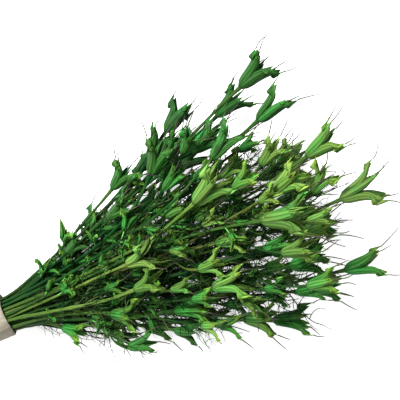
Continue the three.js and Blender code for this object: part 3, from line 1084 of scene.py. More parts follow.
def main_thread():
    """A leaf's main thread: it grows along +z and leans towards +x."""
    length = rng.uniform(*LEAF_LENGTH)
    t = np.linspace(0, 1, MAIN_POINTS)[:, None]
    curl = rng.uniform(-1, 1) * LEAF_CURL
    droop = rng.uniform(*LEAF_DROOP)
    return np.hstack([length * droop * t**1.3, curl * np.sin(2.4 * t), length * 0.75 * t**0.9])


def side_thread(main, at, turn):
    """A thread that leaves the main one at a share of its length, to one side or the other."""
    shares = np.linspace(0, 1, len(main))
    root = np.array([np.interp(at, shares, main[:, axis]) for axis in range(3)])
    side = turn * rng.uniform(*SIDE_REACH) * (1.1 - at * 0.6)
    s = np.linspace(0, 1, SIDE_POINTS)[:, None]
    forward = rng.uniform(*SIDE_FORWARD)
    away = rng.normal(0, 4)
    bent = away * np.sin(2.2 * s) + 3 * s**2
    return root + np.hstack([bent, side * np.sin(1.7 * s), forward * s**1.6])


def thread_leaf(name, threads):
    """A wisp, from millimetres to metres."""
    clay = Clay()
    main = main_thread()
    paths = [(main, MAIN_RADIUS)]
    for index in range(threads):
        at = 0.15 + 0.8 * index / threads
        paths.append((side_thread(main, at, (-1) ** index), SIDE_RADIUS))
    for path, radius in paths:
        radii = np.linspace(radius, radius * THREAD_END, len(path))
        clay.add(*tube(path * MM, radii * MM, THREAD_SIDES))
    return bpy.data.objects.new(name, clay.mesh(name))


leaf_box = bpy.data.collections.new("leaf_kinds")
for kind in range(LEAF_KINDS):
    leaf = thread_leaf(f"leaf_kind_{kind}", FEWEST_THREADS + kind % 3)
    leaf_box.objects.link(leaf)
print(LEAF_KINDS, "kinds of leaf, the last with", len(leaf.data.polygons), "faces")

# %% [markdown]
# Below the full pods sit small heads that never grew up: two or three small follicles on
# a short stalk. There are more than two hundred, so each is made from every second row
# and every fourth column of a follicle's grid, which leaves 58 faces for a follicle.

# %% Small heads
HEAD_KINDS = 5
HEAD_SIZE = 0.62
HEAD_LEAN = (0.3, 0.75)
HEAD_STALK = (4, 11)
HEAD_STALK_RADIUS = 0.6
HEAD_FATNESS = 1.3
HEAD_LENGTH = POD_LENGTH * 0.9
EVERY_ROW = 2
EVERY_COLUMN = 4
head_rng = np.random.default_rng(9)


def head_stalk(end):
    """A straight four-sided stalk from the origin to its end."""
    path = np.linspace([0, 0, 0], end, 4)
    return tube(path * MM, np.full(4, HEAD_STALK_RADIUS * MM), 4)


def small_head(name, follicles):
    """A head at the end of a stalk that leans to +x, from millimetres to metres."""
    clay = Clay()
    lean = head_rng.uniform(*HEAD_LEAN)
    away = np.array([math.sin(lean), 0, math.cos(lean)])
    side = np.array([0, 1.0, 0])
    up = np.cross(away, side)
    stalk = head_rng.uniform(*HEAD_STALK)
    tint = np.array([head_rng.uniform(0.1, 1), head_rng.uniform(0, 0.6), 0])
    clay.add(*head_stalk(away * (stalk + 1)), tint=tint)
    for index in range(follicles):
        around = 2 * math.pi * index / follicles + head_rng.uniform(-0.4, 0.4)
        outward = side * math.cos(around) + up * math.sin(around)
        turn = np.stack([away, outward, np.cross(away, outward)])
        flare = head_rng.uniform(0.9, 1.3)
        opening = head_rng.uniform(0.3, 1)
        grid = follicle_points(flare, HEAD_FATNESS, opening, 0, HEAD_LENGTH)
        grid = grid[::EVERY_ROW, ::EVERY_COLUMN]
        local, faces = shell(grid, WALL)
        points = (away * stalk + (local @ turn) * HEAD_SIZE) * MM
        own = tint + [0, head_rng.uniform(0, 0.2), head_rng.uniform()]
        clay.add(points, faces, 0, shell_places(*grid.shape[:2]), own)
    return bpy.data.objects.new(name, clay.mesh(name))


head_box = bpy.data.collections.new("head_kinds")
for kind in range(HEAD_KINDS):
    head = small_head(f"head_kind_{kind}", 2 + kind % 2)
    head_box.objects.link(head)
print(HEAD_KINDS, "kinds of small head, the last with", len(head.data.polygons), "faces")

# %% [markdown]
# Two trees follow, one for the sprays and one for the twine. Both begin with named
# inputs and end by making the copies real, so that what comes out is a plain mesh.


# %% Helpers for trees
def new_tree(name, inputs):
    """An empty Geometry Nodes tree with a geometry input, the named inputs and an output."""
    tree = bpy.data.node_groups.new(name, "GeometryNodeTree")
    sockets = tree.interface
    sockets.new_socket("Geometry", in_out="INPUT", socket_type="NodeSocketGeometry")
    sockets.new_socket("Geometry", in_out="OUTPUT", socket_type="NodeSocketGeometry")
    for label, kind in inputs.items():
        sockets.new_socket(label, in_out="INPUT", socket_type="NodeSocket" + kind)
    return tree, node(tree, "NodeGroupInput")


def join(tree, *parts):
    """Joins any number of geometries."""
    joined = tree.nodes.new("GeometryNodeJoinGeometry")
    for part in parts:
        tree.links.new(part.socket, joined.inputs[0])
    return Wire(tree, joined.outputs[0])


def painted(tree, geometry, skin):
    return node(tree, "GeometryNodeSetMaterial", {}, {"Geometry": geometry, "Material": skin})


def finish_tree(tree, geometry):
    realized = node(tree, "GeometryNodeRealizeInstances", {}, {"Geometry": geometry})
    end = tree.nodes.new("NodeGroupOutput")
    tree.links.new(realized.socket, end.inputs[0])


def random_value(tree, low, high, seed, kind="FLOAT"):
    """A random number for each point, a whole one where the kind is INT."""
    low_slot, high_slot, output = {"FLOAT": (2, 3, 1), "INT": (4, 5, 2)}[kind]
    values = {low_slot: low, high_slot: high, "Seed": seed}
    made = node(tree, "FunctionNodeRandomValue", {"data_type": kind}, values)
    return Wire(tree, made.socket.node.outputs[output])


def store(tree, geometry, name, value, domain="POINT"):
    """Keeps a number on the geometry under a name that the paint can read."""
    settings = {"data_type": "FLOAT", "domain": domain}
    values = {"Geometry": geometry, "Name": name, "Value": value}
    return node(tree, "GeometryNodeStoreNamedAttribute", settings, values)


print("tree helpers ready")

# %% [markdown]
# The spray tree takes the pods as its mesh and the stalks' paths as another object. It
# sweeps a star-shaped section along the paths, which gives the ribs, and keeps what the
# paint needs: how far along the stalk and how far round it a point is.

# %% The tree for a spray: stalks
SECTION_POINTS = 5
spray_inputs = {
    "Stalks": "Object",
    "Leaves": "Collection",
    "Heads": "Collection",
    "Head spacing": "Float",
    "First head": "Float",
    "Last head share": "Float",
    "Leaf spacing": "Float",
    "Leaf size": "Float",
    "First leaf": "Float",
    "Last leaf share": "Float",
    "Full leaf": "Float",
    "Table height": "Float",
    "Top height": "Float",
    "Rib depth": "Float",
    "Stalk tint": "Float",
    "Seed": "Int",
    "Stalk skin": "Material",
    "Leaf skin": "Material",
    "Head skin": "Material",
}
spray_tree, given = new_tree("dried_spray", spray_inputs)
seed = given.out("Seed")
stalks = node(spray_tree, "GeometryNodeObjectInfo", {}, {"Object": given.out("Stalks")})
where = node(spray_tree, "GeometryNodeSplineParameter")
marked = store(spray_tree, stalks.out("Geometry"), "lengthwise", where.out("Length"))
marked = store(spray_tree, marked, "share", where.out("Factor"))
section = node(
    spray_tree,
    "GeometryNodeCurveStar",
    {},
    {"Points": SECTION_POINTS, "Inner Radius": 1 - given.out("Rib depth"), "Outer Radius": 1.0},
)
section = store(spray_tree, section, "around", where.out("Factor"))
radius = node(spray_tree, "GeometryNodeInputRadius")
ribbed = node(
    spray_tree,
    "GeometryNodeCurveToMesh",
    {},
    {"Curve": marked, "Profile Curve": section, "Scale": radius, "Fill Caps": True},
)
ribbed = store(spray_tree, ribbed, "own_tint", given.out("Stalk tint"))
ribbed = painted(spray_tree, ribbed, given.out("Stalk skin"))
print("a stalk's section has", 2 * SECTION_POINTS, "corners")

# %% [markdown]
# Leaves and small heads sit along the same paths, from where the stems come free of the
# tie to a share of their length. Both are copies of a few kinds, so one function sets
# either: it turns the path into points, leaves out those too near the tie or the head,
# and puts a random kind at each, turned by chance.

# %% The tree for a spray: what is set along the stalks
position = node(spray_tree, "GeometryNodeInputPosition")
point = node(spray_tree, "ShaderNodeSeparateXYZ", {}, {0: position})
share = node(
    spray_tree, "GeometryNodeInputNamedAttribute", {"data_type": "FLOAT"}, {"Name": "share"}
)


def compare(operation, first, second):
    settings = {"data_type": "FLOAT", "operation": operation}
    return node(spray_tree, "FunctionNodeCompare", settings, {0: first, 1: second})


def seats_along(spacing, first, last):
    """Points along the paths, and which of them are free to take something."""
    values = {"Curve": marked, "Length": given.out(spacing)}
    seats = node(spray_tree, "GeometryNodeCurveToPoints", {"mode": "LENGTH"}, values)
    past_tie = compare("GREATER_THAN", point, given.out(first))
    below_head = compare("LESS_THAN", share, given.out(last))
    both = {0: past_tie, 1: below_head}
    return seats, node(spray_tree, "FunctionNodeBooleanMath", {"operation": "AND"}, both)


def scattered(what, kinds, seats, free, size, salt):
    """Copies of the objects in a collection at the free seats, each turned on its own."""
    angle = random_value(spray_tree, 0.0, 2 * math.pi, seed + salt)
    values = {"Axis": (0, 0, 1), "Angle": angle}
    spin = node(spray_tree, "FunctionNodeAxisAngleToRotation", {}, values)
    values = {"Rotation": seats.out("Rotation"), "Rotate By": spin}
    turned = node(spray_tree, "FunctionNodeRotateRotation", {"rotation_space": "LOCAL"}, values)
    values = {"Collection": given.out(what), "Separate Children": True, "Reset Children": True}
    values = {
        "Points": seats,
        "Selection": free,
        "Instance": node(spray_tree, "GeometryNodeCollectionInfo", {}, values),
        "Pick Instance": True,
        "Instance Index": random_value(spray_tree, 0, kinds - 1, seed + (salt + 1), "INT"),
        "Rotation": turned,
        "Scale": size,
    }
    return node(spray_tree, "GeometryNodeInstanceOnPoints", {}, values)


grown_up = node(
    spray_tree,
    "ShaderNodeMapRange",
    {"clamp": True},
    {0: point, 1: given.out("First leaf"), 2: given.out("Full leaf"), 3: 0.45, 4: 1.0},
)
leaf_scale = given.out("Leaf size") * grown_up * random_value(spray_tree, 0.4, 1.25, seed + 2)
seats, free = seats_along("Leaf spacing", "First leaf", "Last leaf share")
leaves = scattered("Leaves", LEAF_KINDS, seats, free, leaf_scale, 0)
leaf_tint = random_value(spray_tree, 0.0, 1.0, seed + 3)
leaves = store(spray_tree, leaves, "own_tint", leaf_tint, domain="INSTANCE")
leaves = painted(spray_tree, leaves, given.out("Leaf skin"))
head_scale = random_value(spray_tree, 0.6, 1.15, seed + 4)
seats, free = seats_along("Head spacing", "First head", "Last head share")
heads = scattered("Heads", HEAD_KINDS, seats, free, head_scale, 5)
heads = painted(spray_tree, heads, given.out("Head skin"))
print("leaves and small heads are set along the stalks")

# %% [markdown]
# A leaf that hangs lower than the table lies flat on it, and none stands far above the
# object's box, so the heights of their points are held between two limits. A real leaf
# would bend; these are so thin that it hardly shows. Then everything is joined.

# %% The tree for a spray: what lies on the table
greenery = join(spray_tree, leaves, heads)
greenery = node(spray_tree, "GeometryNodeRealizeInstances", {}, {"Geometry": greenery})
limits = {0: point.out("Z"), 1: given.out("Table height"), 2: given.out("Top height")}
heights = node(spray_tree, "ShaderNodeClamp", {}, limits)
lifted = node(spray_tree, "ShaderNodeCombineXYZ", {}, {0: point, 1: point.out("Y"), 2: heights})
laid = {"Geometry": greenery, "Position": lifted}
laid = node(spray_tree, "GeometryNodeSetPosition", {}, laid)
finish_tree(spray_tree, join(spray_tree, given, ribbed, laid))
print("the spray tree has", len(spray_tree.nodes), "nodes")

# %% [markdown]
# ## Paint
#
# Everything is painted by rule, from the values kept on the mesh and from noise in
# object space. Colours are mixed with Mix nodes, since a Math node would turn them
# grey; masks are plain sums and products of wires. A colour is written as a paint
# program shows it, and turned into the linear light that the shader wants.


# %% Helpers for paint
def linear_light(value):
    """One part of a colour, 0 to 255, as linear light from 0 to 1."""
    return ((value / 255 + 0.055) / 1.055) ** 2.4 if value > 10 else value / 255 / 12.92


def srgb(red, green, blue):
    return (linear_light(red), linear_light(green), linear_light(blue), 1)


def new_paint(name, roughness, **constants):
    """A material with a Principled shader, whose unchanging values are set on its sockets."""
    material = bpy.data.materials.new(name)
    material.use_nodes = True
    shader = material.node_tree.nodes["Principled BSDF"]
    shader.inputs["Roughness"].default_value = roughness
    for label, value in constants.items():
        shader.inputs[label.replace("_", " ")].default_value = value
    return material, material.node_tree, shader


def mix(tree, mask, first, second):
    """Mixes two colours: the first where the mask is 0, the second where it is 1."""
    settings = {"data_type": "RGBA", "clamp_factor": True}
    made = node(tree, "ShaderNodeMix", settings, {0: mask, 6: first, 7: second})
    return Wire(tree, made.socket.node.outputs[2])


def ramp(tree, value, stops):
    """A number between 0 and 1 from a number, by straight lines between the stops."""
    low, high = stops
    return node(tree, "ShaderNodeMapRange", {"clamp": True}, {0: value, 1: low, 2: high})


print("a middle green in linear light:", [round(part, 3) for part in srgb(0, 128, 0)])

# %% [markdown]
# Paint reads noise at a place on the object, and the numbers that were kept on the mesh.
# What it works out feeds a socket of the shader; fine relief goes in by a Bump node, which
# is enough for fibres and veins that are finer than the mesh.


# %% What paint reads and feeds
def noise(tree, vector, scale, detail=3.0):
    values = {"Vector": vector, "Scale": scale, "Detail": detail}
    return node(tree, "ShaderNodeTexNoise", {}, values)


def object_place(tree):
    return node(tree, "ShaderNodeTexCoord").out("Object")


def kept_number(tree, name):
    """A number kept on the mesh."""
    return node(tree, "ShaderNodeAttribute", {"attribute_name": name}).out("Fac")


def kept(tree, name):
    """Three numbers kept on the mesh as a vector."""
    found = node(tree, "ShaderNodeAttribute", {"attribute_name": name}).out("Vector")
    parts = node(tree, "ShaderNodeSeparateXYZ", {}, {0: found})
    return parts, parts.out("Y"), parts.out("Z")


def feed(tree, shader, label, wire):
    tree.links.new(wire.socket, shader.inputs[label])


def bump(tree, shader, height, strength, distance):
    values = {"Height": height, "Strength": strength, "Distance": distance}
    feed(tree, shader, "Normal", node(tree, "ShaderNodeBump", {}, values))


print("paint can read noise and kept numbers")

# %% [markdown]
# Deep in the bunch it is nearly black. Shadows alone don't make it so dark here, since
# the greenery is sparser than on the real thing. So stems, leaves and pods get painted
# shade by depth: their height is compared with the top of the bunch, which rises from
# the tie to the heads.

# %% Painted shade by depth
TOP_AT_TIE = 0.037
TOP_RISE = 0.4
DEPTH_SHADE_STOPS = (0.78, 0.3)


# Painted shade: how far a point lies below the top of the bunch.
def depth_shade(tree, spot):
    """0 near the top of the bunch, 1 near the table."""
    place = node(tree, "ShaderNodeSeparateXYZ", {}, {0: spot})
    ahead = {0: place - float(sleeve_high.x), 1: 0.0}
    past_tie = node(tree, "ShaderNodeMath", {"operation": "MAXIMUM"}, ahead)
    return ramp(tree, place.out("Z") / (TOP_AT_TIE + TOP_RISE * past_tie), DEPTH_SHADE_STOPS)


print("the bunch is darkest below", DEPTH_SHADE_STOPS[1], "of its height")


# %% [markdown]
# Pod skin: emerald at the base where the dye pooled, yellow green further up. Some pods
# are nearly as dark as pine, some are pale, and the follicles of one pod differ as well.
# Pale veins run along the ribs. Painted shade darkens the hollows between the ribs, and
# the sides of each follicle low down, where it meets the next. The torn edges are dry and
# olive brown, the inside of the trough is duller, and old skin has small freckles. One
# painted texture would do for a single pod, but rules give each of more than five
# hundred follicles its own.

# %% Pod skin
pod_skin, tree, shader = new_paint("dyed_pod_skin", 0.5, Specular_IOR_Level=0.1)
along, across, inside = kept(tree, "place")
shade, yellow, follicle_shade = kept(tree, "tint")
spot = object_place(tree)
cloud = noise(tree, spot, 90.0)
grain = noise(tree, spot, 420.0, 4.0)
base_green = mix(tree, shade, srgb(0, 92, 42), srgb(0, 172, 66))
tip_green = mix(tree, yellow, srgb(10, 126, 38), srgb(156, 190, 40))
height = along + 0.5 * (cloud - 0.5) + 0.3 * (yellow - 0.5)
skin = mix(tree, ramp(tree, height, (0.35, 1.05)), base_green, tip_green)
dark_pod = ramp(tree, shade, (0.34, 0.1))
skin = mix(tree, 0.8 * dark_pod, skin, srgb(0, 74, 38))
pale_pod = ramp(tree, yellow, (0.55, 0.92))
skin = mix(tree, 0.65 * pale_pod, skin, srgb(166, 196, 98))
skin = mix(tree, 0.5 * ramp(tree, follicle_shade, (0.5, 1.0)), skin, srgb(0, 58, 26))
bright = ramp(tree, cloud + 0.35 * (0.5 - follicle_shade), (0.5, 0.68))
skin = mix(tree, 0.4 * bright, skin, srgb(60, 196, 90))
side = node(tree, "ShaderNodeMath", {"operation": "ABSOLUTE"}, {0: across})
stripe = node(tree, "ShaderNodeMath", {"operation": "COSINE"}, {0: side * (RIBS * 2 * math.pi)})
vein = ramp(tree, stripe + 0.5 * (grain - 0.5), (0.68, 1.0)) * (1.0 - 0.5 * dark_pod)
skin = mix(tree, 0.55 * vein, skin, srgb(142, 214, 108))
# Painted shade in the hollows between the ribs.
hollow_shade = ramp(tree, stripe, (-0.5, -1.0))
skin = mix(tree, 0.72 * hollow_shade, skin, srgb(0, 36, 12))
# Painted shade on the follicle's sides low down, where it meets the next follicle.
seam_shade = ramp(tree, side + 0.1 * (grain - 0.5), (0.84, 0.97)) * ramp(tree, along, (0.75, 0.5))
skin = mix(tree, 0.6 * seam_shade, skin, srgb(0, 44, 18))
freckle = ramp(tree, grain + 0.3 * (cloud - 0.5), (0.62, 0.72))
skin = mix(tree, 0.35 * freckle, skin, srgb(14, 66, 16))
edge = ramp(tree, side + 0.5 * (cloud - 0.5), (0.8, 1.05)) * ramp(tree, along, (0.4, 0.75))
edge = edge + ramp(tree, along + 0.25 * (cloud - 0.5), (0.93, 1.06))
skin = mix(tree, 0.5 * edge * (1.0 - 0.7 * dark_pod), skin, srgb(132, 122, 26))
skin = mix(tree, 0.5 * inside, skin, srgb(52, 84, 20))
# Painted shade by depth in the bunch.
skin = mix(tree, 0.4 * depth_shade(tree, spot), skin, srgb(0, 44, 18))
feed(tree, shader, "Base Color", skin)
feed(tree, shader, "Roughness", 0.42 + 0.3 * cloud)
bump(tree, shader, 0.6 * stripe + 0.5 * grain, 0.5, 0.0004)
print(pod_skin.name, len(tree.nodes), "nodes")

# %% [markdown]
# Beaks are dead tissue: dark grey brown, with a little green left near the root.

# %% Beak skin
beak_skin, tree, shader = new_paint("dry_beak", 0.7, Specular_IOR_Level=0.2)
along = kept(tree, "place")[0]
cloud = noise(tree, object_place(tree), 300.0)
withered = ramp(tree, along + 0.4 * (cloud - 0.5), (0.05, 0.5))
dry = mix(tree, withered, srgb(70, 88, 34), srgb(58, 50, 52))
feed(tree, shader, "Base Color", dry)
feed(tree, shader, "Roughness", 0.55 + 0.3 * cloud)
print(beak_skin.name, len(tree.nodes), "nodes")

# %% [markdown]
# Leaf threads took the dye from nearly black green to olive, one leaf unlike the next,
# and a few have bleached. Each copy of a leaf carries its own tint for that.

# %% Leaf skin
leaf_skin, tree, shader = new_paint("dry_thread_leaf", 0.7, Specular_IOR_Level=0.08)
spot = object_place(tree)
own = kept_number(tree, "own_tint")
fine = noise(tree, spot, 240.0)
thread = mix(tree, ramp(tree, own, (0.35, 0.85)), srgb(0, 26, 8), srgb(54, 90, 30))
thread = mix(tree, ramp(tree, own, (0.78, 0.96)), thread, srgb(112, 134, 84))
thread = mix(tree, 0.6 * ramp(tree, fine, (0.62, 0.8)), thread, srgb(70, 80, 50))
# Painted shade by depth in the bunch.
thread = mix(tree, 0.75 * depth_shade(tree, spot), thread, srgb(0, 18, 4))
feed(tree, shader, "Base Color", thread)
feed(tree, shader, "Roughness", 0.5 + 0.35 * fine)
print(leaf_skin.name, len(tree.nodes), "nodes")

# %% [markdown]
# Stalks are green to olive or straw brown from stem to stem, with fibres that run
# lengthwise, and painted shade darkens the grooves between the ribs. The fibres are noise
# in a space that is stretched along the stalk, from the two numbers that the tree kept.
# Near the tie, where the stems are pressed together, they get painted shade.

# %% Stalk skin
TIE_STRETCH = (0.14, 0.2)
stalk_skin, tree, shader = new_paint("dyed_stalk_skin", 0.55, Specular_IOR_Level=0.1)
lengthwise = kept_number(tree, "lengthwise")
around = kept_number(tree, "around")
spot = object_place(tree)
stretched = {0: lengthwise * 30.0, 1: around * 9.0, 2: 0.0}
stretched = node(tree, "ShaderNodeCombineXYZ", {}, stretched)
fibre = noise(tree, stretched, 2.2, 5.0)
patch = noise(tree, spot, 22.0)
turns_by_ribs = around * (2 * math.pi * SECTION_POINTS)
rib = node(tree, "ShaderNodeMath", {"operation": "COSINE"}, {0: turns_by_ribs})
own = kept_number(tree, "own_tint")
ripe = ramp(tree, 0.6 * own + 0.4 * patch, (0.25, 0.75))
stalk = mix(tree, ripe, srgb(0, 64, 20), srgb(108, 146, 58))
stalk = mix(tree, 0.35 * own * ramp(tree, fibre, (0.5, 0.7)), stalk, srgb(136, 152, 76))
# Painted shade in the grooves between the ribs.
stalk = mix(tree, 0.6 * ramp(tree, rib, (0.2, -0.9)), stalk, srgb(4, 28, 6))
brown = ramp(tree, own + 0.4 * (noise(tree, spot, 12.0) - 0.5), (0.68, 0.95))
stalk = mix(tree, 0.6 * brown, stalk, srgb(128, 118, 62))
# Painted shade near the tie, where the stems are packed together.
tie_shade = ramp(tree, lengthwise, (TIE_STRETCH[1], TIE_STRETCH[0]))
stalk = mix(tree, 0.5 * tie_shade, stalk, srgb(14, 46, 12))
# Painted shade by depth in the bunch.
stalk = mix(tree, 0.65 * depth_shade(tree, spot), stalk, srgb(0, 32, 10))
feed(tree, shader, "Base Color", stalk)
feed(tree, shader, "Roughness", 0.45 + 0.3 * fibre)
bump(tree, shader, fibre, 0.4, 0.0003)
print(stalk_skin.name, len(tree.nodes), "nodes")

# %% [markdown]
# ## Making the sprays
#
# Each spray is one piece, as it grew: its pods in mesh code, its stalks, leaves and small
# heads from the tree. The modifier's inputs are set, the result is copied to a plain
# mesh, and the helpers are thrown away, so that what is left is an ordinary mesh at the
# origin.


# %% From a tree to a plain mesh
def grown(name, base_mesh, tree, values):
    """Applies a tree to a mesh and returns the result as a new plain object."""
    helper = put(name + "_helper", base_mesh)
    modifier = helper.modifiers.new("grow", "NODES")
    modifier.node_group = tree
    for item in tree.interface.items_tree:
        if item.name in values:
            modifier[item.identifier] = values[item.name]
    graph = bpy.context.evaluated_depsgraph_get()
    mesh = bpy.data.meshes.new_from_object(helper.evaluated_get(graph))
    bpy.data.objects.remove(helper)
    mesh.name = name
    return put(name, mesh)


def triangles(piece):
    return sum(len(p.vertices) - 2 for p in piece.data.polygons)


print("ready to grow")

# %% [markdown]
# What differs from spray to spray is its place in the fan. Where the fan's angle is
# negative, leaves are full grown closer to the tie. Towards both sides they are smaller,
# so that the outline stays clean, and smallest where the angle is largest, since the
# sprays stand free there. Lengths here are in metres, as the tree wants them.

# %% What a spray's tree gets
LEAF_SPACING = 0.007
FIRST_LEAF = 0.015
LAST_LEAF_SHARE = 0.84
HEAD_SPACING = 0.034
FIRST_HEAD = 0.03
LAST_HEAD_SHARE = 0.8
FULL_LEAF_FAN = [-22, -6]
FULL_LEAF = [0.035, 0.1]
LEAF_SIZE_FAN = [-24, -14, 8, 16]
LEAF_SIZE = [0.75, 1, 1, 0.5]
STALK_TINT = (0.1, 0.75)
RIB_DEPTH = 0.2
ABOVE_TABLE = 0.0004
ABOVE_BOX = 0.008


def spray_values(number, spray, paths):
    """The inputs of the spray tree for one spray."""
    head = spray["points"][-1]
    fan = fan_angle(head)
    mouth = float(shift[0])
    tint = rng.uniform(*STALK_TINT) + 0.3 * centring(head)
    return {
        "Stalks": paths,
        "Leaves": leaf_box,
        "Heads": head_box,
        "Head spacing": HEAD_SPACING,
        "First head": FIRST_HEAD + mouth,
        "Last head share": LAST_HEAD_SHARE,
        "Leaf spacing": LEAF_SPACING,
        "Leaf size": float(np.interp(fan, LEAF_SIZE_FAN, LEAF_SIZE)),
        "First leaf": FIRST_LEAF + mouth,
        "Last leaf share": LAST_LEAF_SHARE,
        "Full leaf": float(np.interp(fan, FULL_LEAF_FAN, FULL_LEAF)) + mouth,
        "Table height": float(cad_low.z) + ABOVE_TABLE,
        "Top height": float(cad_high.z) + ABOVE_BOX,
        "Rib depth": RIB_DEPTH,
        "Stalk tint": float(tint * (1 - 0.5 * darkness(head))),
        "Seed": number,
        "Stalk skin": stalk_skin,
        "Leaf skin": leaf_skin,
        "Head skin": pod_skin,
    }


print("a leaf every", LEAF_SPACING, "m, a small head every", HEAD_SPACING, "m")

# %% [markdown]
# Now the sprays themselves. Each takes the place of its plain solid in the frame.

# %% The sprays
total = 0
for number, spray in enumerate(sprays, 1):
    name = f"spray_{number:02d}"
    clay = Clay()
    for pod in spray["pods"]:
        add_pod(clay, pod)
    base = clay.mesh(name + "_pods")
    base.materials.append(pod_skin)
    base.materials.append(beak_skin)
    paths = stalk_curve(name + "_paths", spray)
    piece = grown(name + "_dried", base, spray_tree, spray_values(number, spray, paths))
    bpy.data.objects.remove(paths)
    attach(piece, "root")
    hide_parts(name)
    total += triangles(piece)
print(number, "sprays,", total, "triangles")

# %% [markdown]
# ## The paper sleeve
#
# A strip of grey-brown paper is wrapped a little more than once round the stems and
# pulled in by the twine. It could be a cloth simulation, but a wrapped sheet is simple to
# say: the radius is the sleeve's, drawn in at the twine, with creases that run lengthwise
# and deepen towards both ends. The sheet's end lies over its start.

# %% The shape of the sleeve
SLEEVE_LAP = 0.12
SLEEVE_COLUMNS = 150
SLEEVE_ROWS = 26
PAPER_WALL = 0.3
PAPER_PLAY = 0.7
LAP_RISE = 0.45
TWINE_POSITION = -30
WAIST_LENGTH = 7
WAIST_DEPTH = 0.35
CREASES = [(7, 0.4, 0.75), (17, 2.1, 0.4), (31, 4.0, 0.2)]
CREASE_HEIGHT = 0.55
CRUMPLE = 0.12
TORN_ENDS = 0.6
BORE_RADIUS = 17.5


def sleeve_points():
    """The sheet, rows from the cut ends to the mouth and columns round the stems."""
    s = np.linspace(0, 1, SLEEVE_ROWS)[:, None]
    turn = np.linspace(0, 1 + SLEEVE_LAP, SLEEVE_COLUMNS)[None, :]
    x = -SLEEVE_LENGTH * (1 - s) + 0 * turn
    waist = np.exp(-(((x - TWINE_POSITION) / WAIST_LENGTH) ** 2))
    angle = turn * 2 * np.pi
    crease = np.zeros_like(x)
    for count, phase, depth in CREASES:
        crease = crease + depth * np.sin(count * angle + phase + 0.05 * x)
    ends = 0.35 + 0.65 * np.abs(x - TWINE_POSITION) / 30
    crumple = CRUMPLE * np.sin(x * 0.9 + 3 * np.sin(angle * 2)) * np.cos(angle * 5)
    folds = (crease * ends * CREASE_HEIGHT + crumple) * (1 - 0.7 * waist)
    radius = BORE_RADIUS + PAPER_PLAY + folds
    radius = radius - WAIST_DEPTH * waist + LAP_RISE * turn
    x = x + TORN_ENDS * np.sin(angle * 3 + 1) * (2 * s - 1)
    y = radius * np.cos(angle)
    z = TIE_HEIGHT + radius * np.sin(angle)
    return np.stack([x, y, z], -1)


print(len(CREASES), "sets of creases")

# %% [markdown]
# The paper is rough recycled pulp: cloudy, flecked, and with pale fibres along it. Real
# fibres are thinner than this noise, but they would not show at this size.

# %% The sleeve and its paper
clay = Clay()
vertices, faces = shell(sleeve_points(), PAPER_WALL)
clay.add(to_frame(vertices), faces)
paper, tree, shader = new_paint("kraft_paper_skin", 0.85)
spot = object_place(tree)
pulp = noise(tree, spot, 160.0, 6.0)
cloud = noise(tree, spot, 40.0)
stretched = {"Vector": spot, "Scale": (120.0, 900.0, 900.0)}
fibre = noise(tree, node(tree, "ShaderNodeMapping", {}, stretched), 1.0, 4.0)
tone = mix(tree, ramp(tree, cloud, (0.35, 0.65)), srgb(128, 120, 106), srgb(162, 154, 138))
tone = mix(tree, 0.5 * ramp(tree, pulp, (0.5, 0.75)), tone, srgb(92, 84, 70))
tone = mix(tree, 0.35 * ramp(tree, fibre, (0.55, 0.7)), tone, srgb(186, 180, 166))
feed(tree, shader, "Base Color", tone)
feed(tree, shader, "Roughness", 0.7 + 0.25 * pulp)
bump(tree, shader, pulp + 0.6 * fibre, 0.35, 0.0004)
sleeve_mesh = clay.mesh("paper_sleeve")
sleeve_mesh.materials.append(paper)
sleeve = put("paper_sleeve", sleeve_mesh)
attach(sleeve, "root")
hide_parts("sleeve")
print("sleeve:", triangles(sleeve), "triangles")

# %% [markdown]
# ## The twine
#
# Jute twine is two plies turned round each other. It goes four times round the sleeve
# and ends in a knot with two short tails. The plies follow a path, so Geometry Nodes
# sweep them: each ply is the path moved sideways in a circle that turns as it goes.

# %% The tree for twine
PLY_SIDES = 6
PLY_NESTING = 0.86
twine_inputs = {
    "Path": "Object",
    "Ply radius": "Float",
    "Turn length": "Float",
    "Step": "Float",
    "Skin": "Material",
}
twine_tree, given = new_tree("two_ply_twine", twine_inputs)
line = node(twine_tree, "GeometryNodeObjectInfo", {}, {"Object": given.out("Path")})
even = {"Curve": line.out("Geometry"), "Length": given.out("Step")}
line = node(twine_tree, "GeometryNodeResampleCurve", {"mode": "LENGTH"}, even)
where = node(twine_tree, "GeometryNodeSplineParameter")
normal = node(twine_tree, "GeometryNodeInputNormal")
tangent = node(twine_tree, "GeometryNodeInputTangent")
section = {"Resolution": PLY_SIDES, "Radius": given.out("Ply radius")}
section = node(twine_tree, "GeometryNodeCurvePrimitiveCircle", {}, section)
turns = where.out("Length") / given.out("Turn length")
aside = given.out("Ply radius") * PLY_NESTING
plies = []
for ply in range(2):
    angle = turns * (2 * math.pi) + ply * math.pi
    turned = {"Vector": normal, "Axis": tangent, "Angle": angle}
    around_axis = {"rotation_type": "AXIS_ANGLE"}
    direction = node(twine_tree, "ShaderNodeVectorRotate", around_axis, turned)
    scaled = {0: direction, "Scale": aside}
    offset = node(twine_tree, "ShaderNodeVectorMath", {"operation": "SCALE"}, scaled)
    moved = {"Geometry": line, "Offset": offset}
    moved = node(twine_tree, "GeometryNodeSetPosition", {}, moved)
    swept = {"Curve": moved, "Profile Curve": section, "Fill Caps": True}
    plies.append(node(twine_tree, "GeometryNodeCurveToMesh", {}, swept))
finish_tree(twine_tree, painted(twine_tree, join(twine_tree, *plies), given.out("Skin")))
print("the twine tree has", len(twine_tree.nodes), "nodes")

# %% [markdown]
# Jute is pale brown with darker hairs between, and quite dull.

